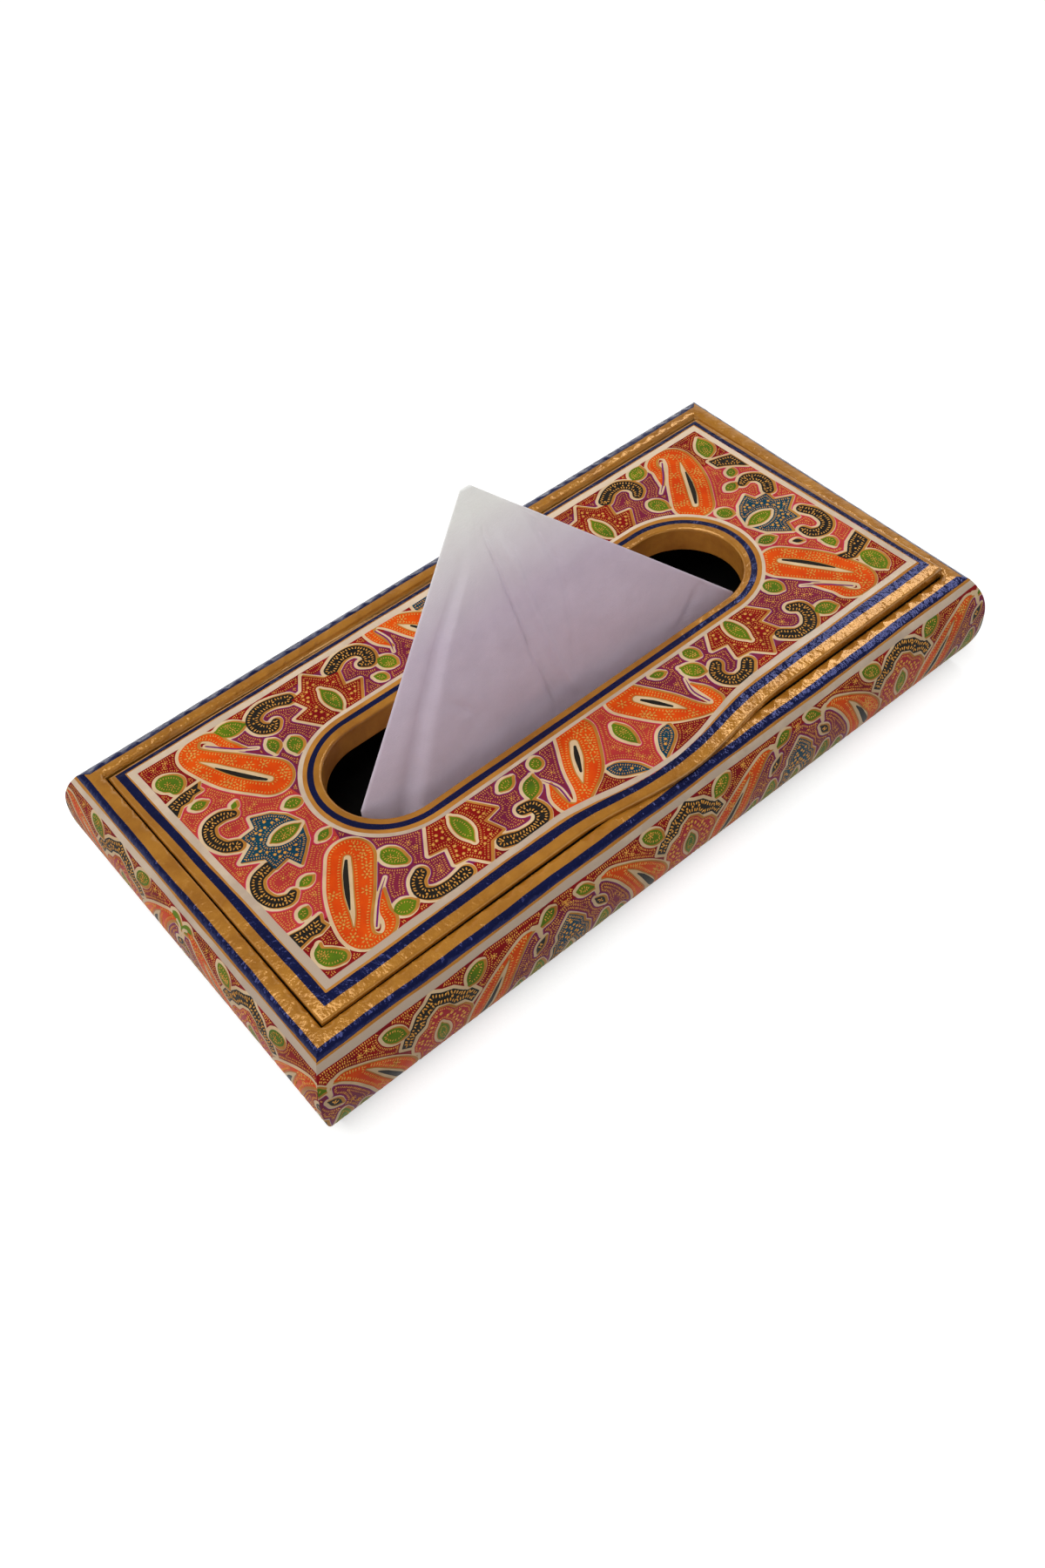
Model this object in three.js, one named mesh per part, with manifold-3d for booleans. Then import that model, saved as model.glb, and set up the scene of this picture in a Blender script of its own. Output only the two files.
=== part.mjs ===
// Papier-mache tissue box: four bow-sided walls mitred round a base board, a flap lid with an
// oval slot that turns on two nails near its rear edge, and one tissue drawn up through the slot.
// Millimetres, +Z up, the origin at the middle of the underside, +Y towards the back.

import * as THREE from 'three';
import { mergeVertices } from 'three/addons/utils/BufferGeometryUtils.js';
import { TessellateModifier } from 'three/addons/modifiers/TessellateModifier.js';
import Module from 'manifold-3d';

const wasm = await Module();
wasm.setup();

// Box, measured along the outer edge of the rim
const rimLength = 254;
const rimWidth = 124;
const boxHeight = 38;
const rimThickness = 5;
const rimRound = 1.2;
const footRound = 0.8;
// How far the walls swell past the rim, and how boxy the swell is: 2 is a plain parabola
const bellyReach = 6.3;
const bellyFullness = 2.5;
const bellySteps = 16;

// Base board, let into a rebate under the walls
const baseThickness = 3;
const rebateDepth = 2.5;

// Lid
const lidThickness = 10;
const lidEndGap = 0.6;
const lidFrontGap = 0.6;
const lidBackGap = 2;
const hingeFromBack = 5;
const lidEdgeRound = 1;
// The board has warped: its front corners stand this far above the rim, its hinge line is level
const liftFrontLeft = 1;
const liftFrontRight = 4;

// Finger tab, a swelling of the lid's front edge that lies over the rim
const tabReach = 4.6;
const tabLength = 84;
const tabShift = 8;

// Oval slot
const slotLength = 159;
const slotWidth = 38.8;
const slotShiftX = 3.1;
const slotShiftY = 1.2;

// Hinge nails
const nailRadius = 1;
const nailInWall = 6;
const nailInLid = 10;

// Tissue: a square sheet. Its corner stands in the slot, and the rest lies pleated on the base.
// Rooms are kept from the slot's ends, and the feet of the standing part are at the rim's height.
const sheetThickness = 0.5;
const peakHeight = 93;
const peakShift = -26.5;
const peakLean = 6;
const peakWidth = 3;
const standBehindLip = 5;
const ridgeRoom = 22;
const leftFootRoom = 11.4;
const leftFootBack = 14.3;
const rightFootRoom = 11.6;
const creaseDepth = 2.2;
const creaseShare = 0.38;
const creaseSpread = 0.2;
const pleatCount = 8;
const pleatRoom = 3;

// Clearances
const fitGap = 0.3;
const mitreGap = 0.3;
const nailGap = 0.3;
const tissueUnderLid = 4;

// Facet sizes
const roundSteps = 5;
const slotSteps = 12;
const tabSteps = 24;
const nailSides = 20;
const longestLidFacet = 60;
const splitPasses = 12;
const edgeRoundSteps = 3;
const weldDistance = 1e-4;
const sheetColumns = 14;
const ridgeColumn = 3;
const standingRows = 13;
const passageRows = 2;

// What the sizes above give
const innerHalfLength = rimLength / 2 - rimThickness;
const innerHalfWidth = rimWidth / 2 - rimThickness;
const lidHalfLength = innerHalfLength - lidEndGap;
const lidFrontY = -innerHalfWidth + lidFrontGap;
const lidBackY = innerHalfWidth - lidBackGap;
const lidBottomZ = boxHeight - lidThickness;
const hingeY = lidBackY - hingeFromBack;
const hingeZ = boxHeight - lidThickness / 2;
const slotRadius = slotWidth / 2;
const slotFrontY = slotShiftY - slotRadius;
const slotStraight = slotLength / 2 - slotRadius;
const slotLeft = slotShiftX - slotLength / 2;
const slotRight = slotShiftX + slotLength / 2;

const gold = { color: 0xbe8737, roughness: 0.35, metalness: 0.3 };
const crimson = { color: 0x961923, roughness: 0.3, metalness: 0 };
const black = { color: 0x1a1816, roughness: 0.7, metalness: 0 };
const steel = { color: 0x8c8680, roughness: 0.4, metalness: 0.9 };
const paperWhite = { color: 0xe6e2ea, roughness: 0.9, metalness: 0 };

// Solids for cutting and joining

function solidOf(geometry) {
  const bare = geometry.index ? geometry.toNonIndexed() : geometry.clone();
  bare.deleteAttribute('normal');
  bare.deleteAttribute('uv');
  const merged = mergeVertices(bare, weldDistance);
  return new wasm.Manifold(new wasm.Mesh({
    numProp: 3,
    vertProperties: new Float32Array(merged.attributes.position.array),
    triVerts: new Uint32Array(merged.index.array),
  }));
}

function geometryOf(solid) {
  const mesh = solid.getMesh();
  const geometry = new THREE.BufferGeometry();
  geometry.setAttribute('position', new THREE.BufferAttribute(mesh.vertProperties, mesh.numProp));
  geometry.setIndex(new THREE.BufferAttribute(mesh.triVerts, 1));
  return geometry;
}

function boxBetween(low, high) {
  const size = new THREE.Vector3().subVectors(high, low);
  const middle = new THREE.Vector3().addVectors(low, high).multiplyScalar(0.5);
  return new THREE.BoxGeometry(size.x, size.y, size.z).translate(middle.x, middle.y, middle.z);
}

function rodAlongX(radius, fromX, toX, y, z) {
  const rod = new THREE.CylinderGeometry(radius, radius, toX - fromX, nailSides);
  rod.rotateZ(Math.PI / 2);
  return rod.translate((fromX + toX) / 2, y, z);
}

function named(name, geometry, look) {
  const plain = geometry.index ? geometry.toNonIndexed() : geometry;
  plain.computeVertexNormals();
  const mesh = new THREE.Mesh(plain, new THREE.MeshStandardMaterial(look));
  mesh.name = name;
  return mesh;
}

// Walls

function bellyAt(z) {
  return bellyReach * (1 - Math.abs(2 * z / boxHeight - 1) ** bellyFullness);
}

// Section of a wall: x is outward from the rim's outer edge, y is up
function wallSection() {
  const section = new THREE.Shape();
  const rebateTop = baseThickness + fitGap;
  section.moveTo(-rimThickness, boxHeight);
  section.lineTo(-rimThickness, rebateTop);
  section.lineTo(-rimThickness + rebateDepth, rebateTop);
  section.lineTo(-rimThickness + rebateDepth, 0);
  section.lineTo(-footRound, 0);
  section.quadraticCurveTo(0, 0, bellyAt(footRound), footRound);
  const bellyTop = boxHeight - rimRound;
  for (let step = 1; step <= bellySteps; step++) {
    const z = THREE.MathUtils.lerp(footRound, bellyTop, step / bellySteps);
    section.lineTo(bellyAt(z), z);
  }
  section.quadraticCurveTo(0, boxHeight, -rimRound, boxHeight);
  return section;
}

// One wall, lying along X with its outer face towards -Y, its ends cut to the mitre
function wallGeometry(rimSide) {
  const geometry = new THREE.ExtrudeGeometry(wallSection(), {
    depth: 1,
    bevelEnabled: false,
    curveSegments: roundSteps,
  });
  const places = geometry.attributes.position;
  for (let i = 0; i < places.count; i++) {
    const outward = places.getX(i);
    const z = places.getY(i);
    const halfLength = rimSide / 2 + outward - mitreGap * Math.SQRT1_2;
    const x = (0.5 - places.getZ(i)) * 2 * halfLength;
    places.setXYZ(i, x, -outward, z);
  }
  return geometry;
}

// The hole for a hinge nail is drilled from inside. Filler and paint close the outside.
function endWallGeometry(hingeAlong) {
  const hole = new THREE.CylinderGeometry(nailRadius + nailGap, nailRadius + nailGap,
    2 * nailInWall, nailSides);
  hole.translate(hingeAlong, rimThickness, hingeZ);
  return geometryOf(solidOf(wallGeometry(rimWidth)).subtract(solidOf(hole)));
}

function placedWall(name, geometry, turn, distance) {
  const mesh = named(name, geometry, crimson);
  mesh.rotation.z = turn;
  mesh.position.set(Math.sin(turn) * distance, -Math.cos(turn) * distance, 0);
  return mesh;
}

function walls() {
  const group = new THREE.Group();
  const halfLength = rimLength / 2;
  const halfWidth = rimWidth / 2;
  group.add(
    placedWall('wall_front', wallGeometry(rimLength), 0, halfWidth),
    placedWall('wall_right', endWallGeometry(hingeY), Math.PI / 2, halfLength),
    placedWall('wall_back', wallGeometry(rimLength), Math.PI, halfWidth),
    placedWall('wall_left', endWallGeometry(-hingeY), -Math.PI / 2, halfLength),
  );
  return group;
}

function baseBoard() {
  const halfLength = innerHalfLength + rebateDepth - fitGap;
  const halfWidth = innerHalfWidth + rebateDepth - fitGap;
  const board = boxBetween(
    new THREE.Vector3(-halfLength, -halfWidth, 0),
    new THREE.Vector3(halfLength, halfWidth, baseThickness),
  );
  return named('base_board', board, black);
}

// Lid

function liftAt(x, y) {
  const along = (x + lidHalfLength) / (2 * lidHalfLength);
  const atFront = THREE.MathUtils.lerp(liftFrontLeft, liftFrontRight, along);
  return atFront * Math.max(0, (hingeY - y) / (hingeY - lidFrontY));
}

// Seen from above: a rectangle whose front edge swells into the tab, with the oval slot
function lidPlan() {
  const plan = new THREE.Shape();
  plan.moveTo(-lidHalfLength, lidBackY);
  plan.lineTo(-lidHalfLength, lidFrontY);
  for (let step = 0; step <= tabSteps; step++) {
    const along = step / tabSteps - 0.5;
    const swell = tabReach * Math.cos(Math.PI * along) ** 2;
    plan.lineTo(tabShift + tabLength * along, lidFrontY - swell);
  }
  plan.lineTo(lidHalfLength, lidFrontY);
  plan.lineTo(lidHalfLength, lidBackY);

  const slot = new THREE.Path();
  slot.absarc(slotShiftX - slotStraight, slotShiftY, slotRadius, Math.PI / 2, 3 * Math.PI / 2);
  slot.absarc(slotShiftX + slotStraight, slotShiftY, slotRadius, -Math.PI / 2, Math.PI / 2);
  plan.holes.push(slot);
  return plan;
}

// Seen from the left end: only a lip is left in front of the lid's body, for the tab
function lidSide() {
  const lipDepth = liftFrontRight + fitGap;
  const lipFrontY = lidFrontY - 2 * tabReach;
  const side = new THREE.Shape();
  side.moveTo(lipFrontY, boxHeight);
  side.lineTo(lipFrontY, boxHeight - lipDepth);
  side.lineTo(lidFrontY, boxHeight - lipDepth);
  side.lineTo(lidFrontY, lidBottomZ);
  side.lineTo(rimWidth, lidBottomZ);
  side.lineTo(rimWidth, boxHeight);
  return side;
}

function warped(solid) {
  const splitter = new TessellateModifier(longestLidFacet, splitPasses);
  const fine = splitter.modify(geometryOf(solid).toNonIndexed());
  const places = fine.attributes.position;
  for (let i = 0; i < places.count; i++) {
    const lift = liftAt(places.getX(i), places.getY(i));
    places.setZ(i, places.getZ(i) + lift);
  }
  return solidOf(fine);
}

function lidPanel() {
  const slab = new THREE.ExtrudeGeometry(lidPlan(), {
    depth: lidThickness - 2 * lidEdgeRound,
    bevelSize: lidEdgeRound,
    bevelOffset: -lidEdgeRound,
    bevelThickness: lidEdgeRound,
    bevelSegments: edgeRoundSteps,
    curveSegments: slotSteps,
  });
  slab.translate(0, 0, lidBottomZ + lidEdgeRound);

  const profile = new THREE.ExtrudeGeometry(lidSide(), {
    depth: 2 * rimLength,
    bevelEnabled: false,
  });
  profile.translate(0, 0, -rimLength);
  // The section's own axes become world Y and Z, and its length runs along X
  profile.applyMatrix4(new THREE.Matrix4().makeBasis(
    new THREE.Vector3(0, 1, 0),
    new THREE.Vector3(0, 0, 1),
    new THREE.Vector3(1, 0, 0),
  ));

  // The tab's underside is cut level, to lie on the rim
  const seat = boxBetween(
    new THREE.Vector3(-rimLength, -rimWidth, 0),
    new THREE.Vector3(rimLength, lidFrontY, boxHeight + fitGap),
  );
  const boreRadius = nailRadius + nailGap;
  const boreEnd = lidHalfLength - nailInLid - fitGap;
  let lid = warped(solidOf(slab).intersect(solidOf(profile))).subtract(solidOf(seat));
  for (const [fromX, toX] of [[-rimLength, -boreEnd], [boreEnd, rimLength]]) {
    lid = lid.subtract(solidOf(rodAlongX(boreRadius, fromX, toX, hingeY, hingeZ)));
  }
  return named('lid_panel', geometryOf(lid), gold);
}

function hingeNails() {
  const group = new THREE.Group();
  const lidEnd = lidHalfLength - nailInLid;
  const wallEnd = innerHalfLength + nailInWall - fitGap;
  group.add(
    named('hinge_nail_left', rodAlongX(nailRadius, -wallEnd, -lidEnd, hingeY, hingeZ), steel),
    named('hinge_nail_right', rodAlongX(nailRadius, lidEnd, wallEnd, hingeY, hingeZ), steel),
  );
  return group;
}

// Tissue

// The three plan points that a row of the sheet runs through, at a height above the rim: its left
// edge, the ridge where it folds back, and its right edge. Each runs straight from foot to peak.
// Below the rim the left edge goes on outwards, and the right one hangs straight down.
function rowCorners(rise) {
  const frontY = slotFrontY + standBehindLip;
  const peak = new THREE.Vector2(slotShiftX + peakShift, frontY + peakLean);
  const up = rise / peakHeight;
  const corners = [
    [slotLeft + leftFootRoom, frontY + leftFootBack, -peakWidth / 2, up],
    [slotLeft + ridgeRoom, frontY, 0, up],
    [slotRight - rightFootRoom, frontY, peakWidth / 2, Math.max(0, up)],
  ];
  return corners.map(([footX, footY, besidePeak, share]) => new THREE.Vector2(
    THREE.MathUtils.lerp(footX, peak.x + besidePeak, share),
    THREE.MathUtils.lerp(footY, peak.y, share),
  ));
}

// A point of a row, with the soft crease that runs down the main panel from near the peak
function pointOfRow(share, rise) {
  const [left, ridge, right] = rowCorners(rise);
  const turned = share * sheetColumns / ridgeColumn;
  let point;
  if (turned < 1) {
    point = left.lerp(ridge, turned);
  } else {
    const across = (share * sheetColumns - ridgeColumn) / (sheetColumns - ridgeColumn);
    const beside = (across - creaseShare) / creaseSpread;
    point = ridge.lerp(right, across);
    point.y += creaseDepth * (1 - rise / peakHeight) * Math.exp(-beside * beside);
  }
  return new THREE.Vector3(point.x, point.y, boxHeight + rise);
}

// Middle surface of the sheet, row by row from the peak down to the base board
function sheetRows() {
  const rows = [];
  const shares = Array.from({ length: sheetColumns + 1 }, (_, i) => i / sheetColumns);
  const addRow = (pointAt) => rows.push(shares.map(pointAt));

  for (let step = 0; step <= standingRows; step++) {
    const rise = peakHeight * (1 - step / standingRows);
    addRow((share) => pointOfRow(share, rise));
  }
  for (let step = 1; step <= passageRows; step++) {
    const rise = -lidThickness * step / passageRows;
    addRow((share) => pointOfRow(share, rise));
  }

  // The pleats are as deep as the slot lets through
  const pleatLeft = slotLeft + ridgeRoom;
  const pleatRight = slotRight - rightFootRoom;
  const pastStraight = slotRadius - Math.min(slotRadius, ridgeRoom, rightFootRoom);
  const pleatHalfDepth = Math.sqrt((slotRadius - pleatRoom) ** 2 - pastStraight ** 2);
  const pleatTop = lidBottomZ - tissueUnderLid;
  const pleatBottom = baseThickness + fitGap + sheetThickness / 2;
  const pitch = (pleatTop - pleatBottom) / pleatCount;
  const bend = pitch / 2;
  for (let pleat = 0; pleat <= pleatCount; pleat++) {
    const side = pleat % 2 ? 1 : -1;
    const z = pleatTop - pleat * pitch;
    const isLast = pleat === pleatCount;
    const turns = isLast ? [[0, 0]] : [[bend, 0], [0, bend], [bend, pitch]];
    const shown = pleat === 0 ? turns.slice(1) : turns;
    for (const [inward, below] of shown) {
      const y = slotShiftY + side * (pleatHalfDepth - inward);
      addRow((share) => new THREE.Vector3(
        THREE.MathUtils.lerp(pleatLeft, pleatRight, share), y, z - below));
    }
  }
  return rows;
}

// The rows thickened to a closed sheet
function sheetGeometry(rows) {
  const rowCount = rows.length;
  const columnCount = rows[0].length;
  const normalAt = (r, c) => {
    const down = new THREE.Vector3().subVectors(
      rows[Math.min(r + 1, rowCount - 1)][c], rows[Math.max(r - 1, 0)][c]);
    const across = new THREE.Vector3().subVectors(
      rows[r][Math.min(c + 1, columnCount - 1)], rows[r][Math.max(c - 1, 0)]);
    return down.cross(across).normalize();
  };
  const points = [];
  for (const side of [0.5, -0.5]) {
    rows.forEach((row, r) => row.forEach((point, c) => {
      const moved = point.clone().addScaledVector(normalAt(r, c), side * sheetThickness);
      points.push(moved.x, moved.y, moved.z);
    }));
  }
  const perSide = rowCount * columnCount;
  const corner = (r, c, back) => r * columnCount + c + (back ? perSide : 0);
  const faces = [];
  const quad = (a, b, c, d) => faces.push(a, b, c, a, c, d);
  for (let r = 0; r < rowCount - 1; r++) {
    for (let c = 0; c < columnCount - 1; c++) {
      quad(corner(r, c), corner(r + 1, c), corner(r + 1, c + 1), corner(r, c + 1));
      quad(corner(r, c, true), corner(r, c + 1, true),
        corner(r + 1, c + 1, true), corner(r + 1, c, true));
    }
  }
  const last = columnCount - 1;
  for (let r = 0; r < rowCount - 1; r++) {
    quad(corner(r, 0), corner(r, 0, true), corner(r + 1, 0, true), corner(r + 1, 0));
    quad(corner(r, last), corner(r + 1, last), corner(r + 1, last, true), corner(r, last, true));
  }
  for (let c = 0; c < last; c++) {
    quad(corner(0, c), corner(0, c + 1), corner(0, c + 1, true), corner(0, c, true));
    quad(corner(rowCount - 1, c), corner(rowCount - 1, c, true),
      corner(rowCount - 1, c + 1, true), corner(rowCount - 1, c + 1));
  }
  const geometry = new THREE.BufferGeometry();
  geometry.setAttribute('position', new THREE.Float32BufferAttribute(points, 3));
  geometry.setIndex(faces);
  return geometry;
}

const tissueBox = new THREE.Group();
tissueBox.add(
  walls(),
  baseBoard(),
  lidPanel(),
  hingeNails(),
  named('tissue', sheetGeometry(sheetRows()), paperWhite),
);

export default tissueBox;
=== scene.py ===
"""Looks of the papier-mache tissue box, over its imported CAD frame.

Lengths are millimetres in the CAD frame until add_mesh() turns them into metres.
The ornament is painted flat, on the lid's plan and on each unrolled wall. It is made of brush
strokes: rows of (x, y, half width) that a smooth line runs through.
"""

import math
import random

import bpy
import numpy as np
from mathutils import Matrix, Vector
from mathutils.geometry import delaunay_2d_cdt


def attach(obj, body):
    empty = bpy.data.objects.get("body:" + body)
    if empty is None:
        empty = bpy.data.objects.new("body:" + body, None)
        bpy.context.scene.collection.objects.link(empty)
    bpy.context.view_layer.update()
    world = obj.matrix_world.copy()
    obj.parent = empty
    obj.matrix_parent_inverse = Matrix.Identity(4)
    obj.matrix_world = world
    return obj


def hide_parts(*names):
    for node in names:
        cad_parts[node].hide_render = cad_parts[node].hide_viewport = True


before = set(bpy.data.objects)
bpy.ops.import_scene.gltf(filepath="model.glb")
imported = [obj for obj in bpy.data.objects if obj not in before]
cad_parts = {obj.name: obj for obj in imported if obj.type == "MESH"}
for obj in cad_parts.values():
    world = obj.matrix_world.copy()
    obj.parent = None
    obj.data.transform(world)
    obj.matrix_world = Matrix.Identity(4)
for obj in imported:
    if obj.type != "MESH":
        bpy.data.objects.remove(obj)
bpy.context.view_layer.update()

METRE = 1000.0

# Sizes of the CAD model, some a hair smaller so that the painted skin stays inside it
RIM_LENGTH = 254.0
RIM_WIDTH = 124.0
BOX_HEIGHT = 38.0
RIM_THICKNESS = 5.0
RIM_ROUND = 1.2
FOOT_ROUND = 0.8
BELLY_REACH = 6.22
BELLY_FULLNESS = 2.5
REBATE_DEPTH = 2.5
REBATE_TOP = 3.3
RIM_EASE = 0.4
RIM_DROP = 0.5
RIM_DROP_REACH = 4.6
BARE_INNER = 4.0

LID_HALF_LENGTH = 121.4
LID_FRONT = -56.4
LID_BACK = 55.0
LID_THICKNESS = 10.0
HINGE_Y = 50.0
LID_ROUND = 1.0
LIFT_FRONT_LEFT = 1.0
LIFT_FRONT_RIGHT = 4.0
TAB_REACH = 4.6
TAB_LENGTH = 84.0
TAB_SHIFT = 8.0
TAB_SEAT = 38.3
SLOT_CENTRE = (3.1, 1.2)
SLOT_STRAIGHT = 60.1
SLOT_RADIUS = 19.4
SLOT_LEFT = SLOT_CENTRE[0] - SLOT_STRAIGHT - SLOT_RADIUS
SLOT_RIGHT = SLOT_CENTRE[0] + SLOT_STRAIGHT + SLOT_RADIUS
# The lid's worn edges, the one at the front more so
EASE_DEPTH = 0.35
EASE_REACH = 4.5
FRONT_EASE_DEPTH = 0.6
FRONT_EASE_REACH = 8.0

PEAK_HEIGHT = 92.2
PEAK_SHIFT = -27.2
PEAK_LEAN = 6.0
PEAK_WIDTH = 3.0
STAND_BEHIND_LIP = 5.0
RIDGE_ROOM = 22.0
LEFT_FOOT_ROOM = 3.8
LEFT_FOOT_BACK = 6.4
RIGHT_FOOT_ROOM = 15.1
RIGHT_FOOT_RUN = 0.048
PLEAT_END_ROOM = 11.6
CREASE_DEPTH = 2.2
CREASE_SHARE = 0.38
CREASE_SPREAD = 0.2
PASSAGE = 10.0
PLEATS = 8
PLEAT_ROOM = 3.0
PLEAT_TOP = 24.0
PLEAT_FOOT = 3.55

# The tissue's own
TISSUE_THICKNESS = 0.3
# How often the ridge is softened, and how many columns to either side of it
RIDGE_SOFTENING = 2
SOFT_COLUMNS = 4
# Creases on the standing panel: places (x, height over the rim) from the top down, how far each
# stands proud, or is sunk where that is negative, and its half width
CREASES = [
    ([(-20.2, 73.2), (-17.0, 59.6), (-12.2, 37.2), (-6.8, 13.5), (-2.8, -4.9)], -0.9, 0.6),
    ([(-15.5, 70), (-12.3, 60.5), (-8.7, 45.6), (-3.2, 23.4), (4.5, -2.1)], 1.2, 1.7),
    ([(1.0, 64.5), (4.6, 41.9), (5.9, 21.6), (6.2, 6.1)], -0.7, 1.5),
    ([(-7, 78), (-2.5, 66), (1.5, 52)], -1.0, 1.6),
    ([(-41.2, 28.4), (-36, 20.5), (-31.6, 14.2)], -0.8, 1.8),
    ([(64, 16), (56, 8), (47, -5)], -1.0, 2.2),
]
CREASE_FADE = 10.0
# How steeply the relief fades at the right edge and at the ridge, and how far from the peak
RIGHT_FADE = 12
RIDGE_FADE = 8
PEAK_FADE = 12
# Slight waves in the paper, the second set finer: how high, then the lengths across and up and
# the start of each of the two waves that are multiplied
WAVES = [
    (0.26, (5.1, 9.7, 1.0), (-14, 6.3, 0.4)),
    (0.1, (2.3, -4.1, 0), (6.7, 3.1, 0)),
]
# The creases' relief stays as it is from this height over the rim down
RELIEF_FOOT = -4
# How far the left panel sags to the back, and from where up and how fast it sags less
LEFT_SAG = 1.9
LEFT_SAG_TOP = 74
LEFT_SAG_FADE = 22
PLEAT_STEP = 3
# Columns on the left panel, by the ridge and on the main panel, and rows above and in the slot
LEFT_COLUMNS = 17
RIDGE_COLUMNS = 6
MAIN_COLUMNS = 112
STANDING_ROWS = 94
PASSAGE_ROWS = 9
RIDGE_SHARE = 0.06
# Rows between the slot and the first pleat, as shares of the way there
JOINING_SHARES = (0.25, 0.5, 0.75)
# Of the folded rows' length, the left panel takes this many parts of all
LEFT_PARTS = 3
ALL_PARTS = 14
# Between these heights over the rim the paper is painted paler towards the top: painted light, for
# light shining through it
PAINTED_BACKLIGHT_RISES = (46, 84)
# The share of the light on the paper that shines through it
THROUGH_SHARE = 0.48
# Where the ridge leaves the straight way up to the peak, by height over the rim
RIDGE_BEND = [(0, 0), (25, 0.3), (45, 1.8), (66, 5.6), (82, 3.5), (92, 0)]

# Paint work
CELL = 0.25
FAR = 9.0
NEAR = 4.0
CUT_TOLERANCE = 0.035
# A stroke's least half width
LEAST_WIDTH = 0.05
HALO = 1.05
TRAIL_SHARE = 0.4
INNER_HALO = 1.15
INNER_GOLD = 0.3
GOLD_EDGE = 0.42
# By how many cells the gold line lies to the right of what it edges
GOLD_SHIFT = 2
GROUND_EDGE = 0.26
# The waves of a line's wander. The shorter ones are smaller, by their share to this power.
WANDER_LENGTHS = (71.0, 29.0, 11.0)
WANDER_POWER = 0.6
WALL_WANDER = 0.14
LID_WANDER = 0.10
LID_FRONT_WANDER = 0.12
SLOT_WANDER = 0.06
MARK_HEIGHT = 0.05
MARK_ROOM = 0.6
LID_MIDDLE = (1.1, 1.3)
MOTTLE_SCALE = 90.0
UNEVEN_SCALE = 240.0
# Painted light: the share of pale patches in the borders' cream rises to the right and the back, by
# metre
PAINTED_LIGHT_START = 0.26
PAINTED_LIGHT_SLOPES = (("X", 2.6), ("Y", 7.0))
PAINTED_LIGHT_CLOUDS = 0.5

# Light and camera, in metres and watts
WORLD_STRENGTH = 0.24
# Each lamp's place, what it points at, its sides and its power: a broad one over the left, and a
# strip for the gloss
LAMPS = {
    "key": ((-0.5, 0.0, 1.25), (0, 0, 0), (1.2, 1.2), 17.3),
    "strip": ((0.7, 0.0, 0.84), (0.7, 0.0, 0), (0.2, 1.0), 3.8),
}
FLOOR_REACH = 6.0
FLOOR_LIFT = 0.62
FAR_FLOOR_LIFT = 0.92
# The distances from the middle between which the floor's lift grows
LIFT_DISTANCES = (0.6, 3.0)
# Where the backdrop's white fades out in reflections, as the upward part of the way there
CEILING_HEIGHTS = (0.3, 0.6)
CAMERA_PLACE = (-0.1885, -0.2482, 0.3762)
CAMERA_AXES = ((0.7652, -0.6412, -0.0574), (0.5315, 0.5789, 0.6186), (-0.3633, -0.5038, 0.7836))
CAMERA_LENS = 34.1
SENSOR_HEIGHT = 36.0


# Brush strokes and flat fields

def smooth_line(points, step=0.8):
    """Points of a smooth curve through the given ones, about step apart."""
    points = np.asarray(points, float)
    if len(points) == 2:
        points = np.array([points[0], points.mean(axis=0), points[1]])
    ends = np.vstack([2 * points[0] - points[1], points, 2 * points[-1] - points[-2]])
    ends[:, 2] = np.maximum(ends[:, 2], 0)
    line = []
    for a, b, c, d in zip(ends, ends[1:], ends[2:], ends[3:]):
        count = max(2, int(math.hypot(*(c - b)[:2]) / step) + 1)
        t = np.linspace(0, 1, count, endpoint=False)[:, None]
        line.append(0.5 * (2 * b + (c - a) * t + (2 * a - 5 * b + 4 * c - d) * t**2
                           + (3 * b - a - 3 * c + d) * t**3))
    line.append(points[-1:])
    line = np.vstack(line)
    line[:, 2] = np.maximum(line[:, 2], LEAST_WIDTH)
    return line


def stroke_distance(x, y, line):
    best = np.full(np.broadcast_shapes(x.shape, y.shape), FAR)
    for a, b in zip(line, line[1:]):
        along = b - a
        length = max(along[0]**2 + along[1]**2, 1e-9)
        t = np.clip(((x - a[0]) * along[0] + (y - a[1]) * along[1]) / length, 0, 1)
        away = np.hypot(x - a[0] - t * along[0], y - a[1] - t * along[1])
        best = np.minimum(best, away - a[2] - t * along[2])
    return best


def polygon_distance(x, y, corners):
    corners = np.asarray(corners, float)
    away = np.full(np.broadcast_shapes(x.shape, y.shape), FAR)
    inside = np.zeros(away.shape, bool)
    for a, b in zip(corners, np.roll(corners, -1, axis=0)):
        along = b - a
        t = np.clip(((x - a[0]) * along[0] + (y - a[1]) * along[1]) / (along @ along), 0, 1)
        away = np.minimum(away, np.hypot(x - a[0] - t * along[0], y - a[1] - t * along[1]))
        if a[1] != b[1]:
            crosses = (y < a[1]) != (y < b[1])
            inside ^= crosses & (x < a[0] + (y - a[1]) * along[0] / along[1])
    return np.where(inside, -away, away)


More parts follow.
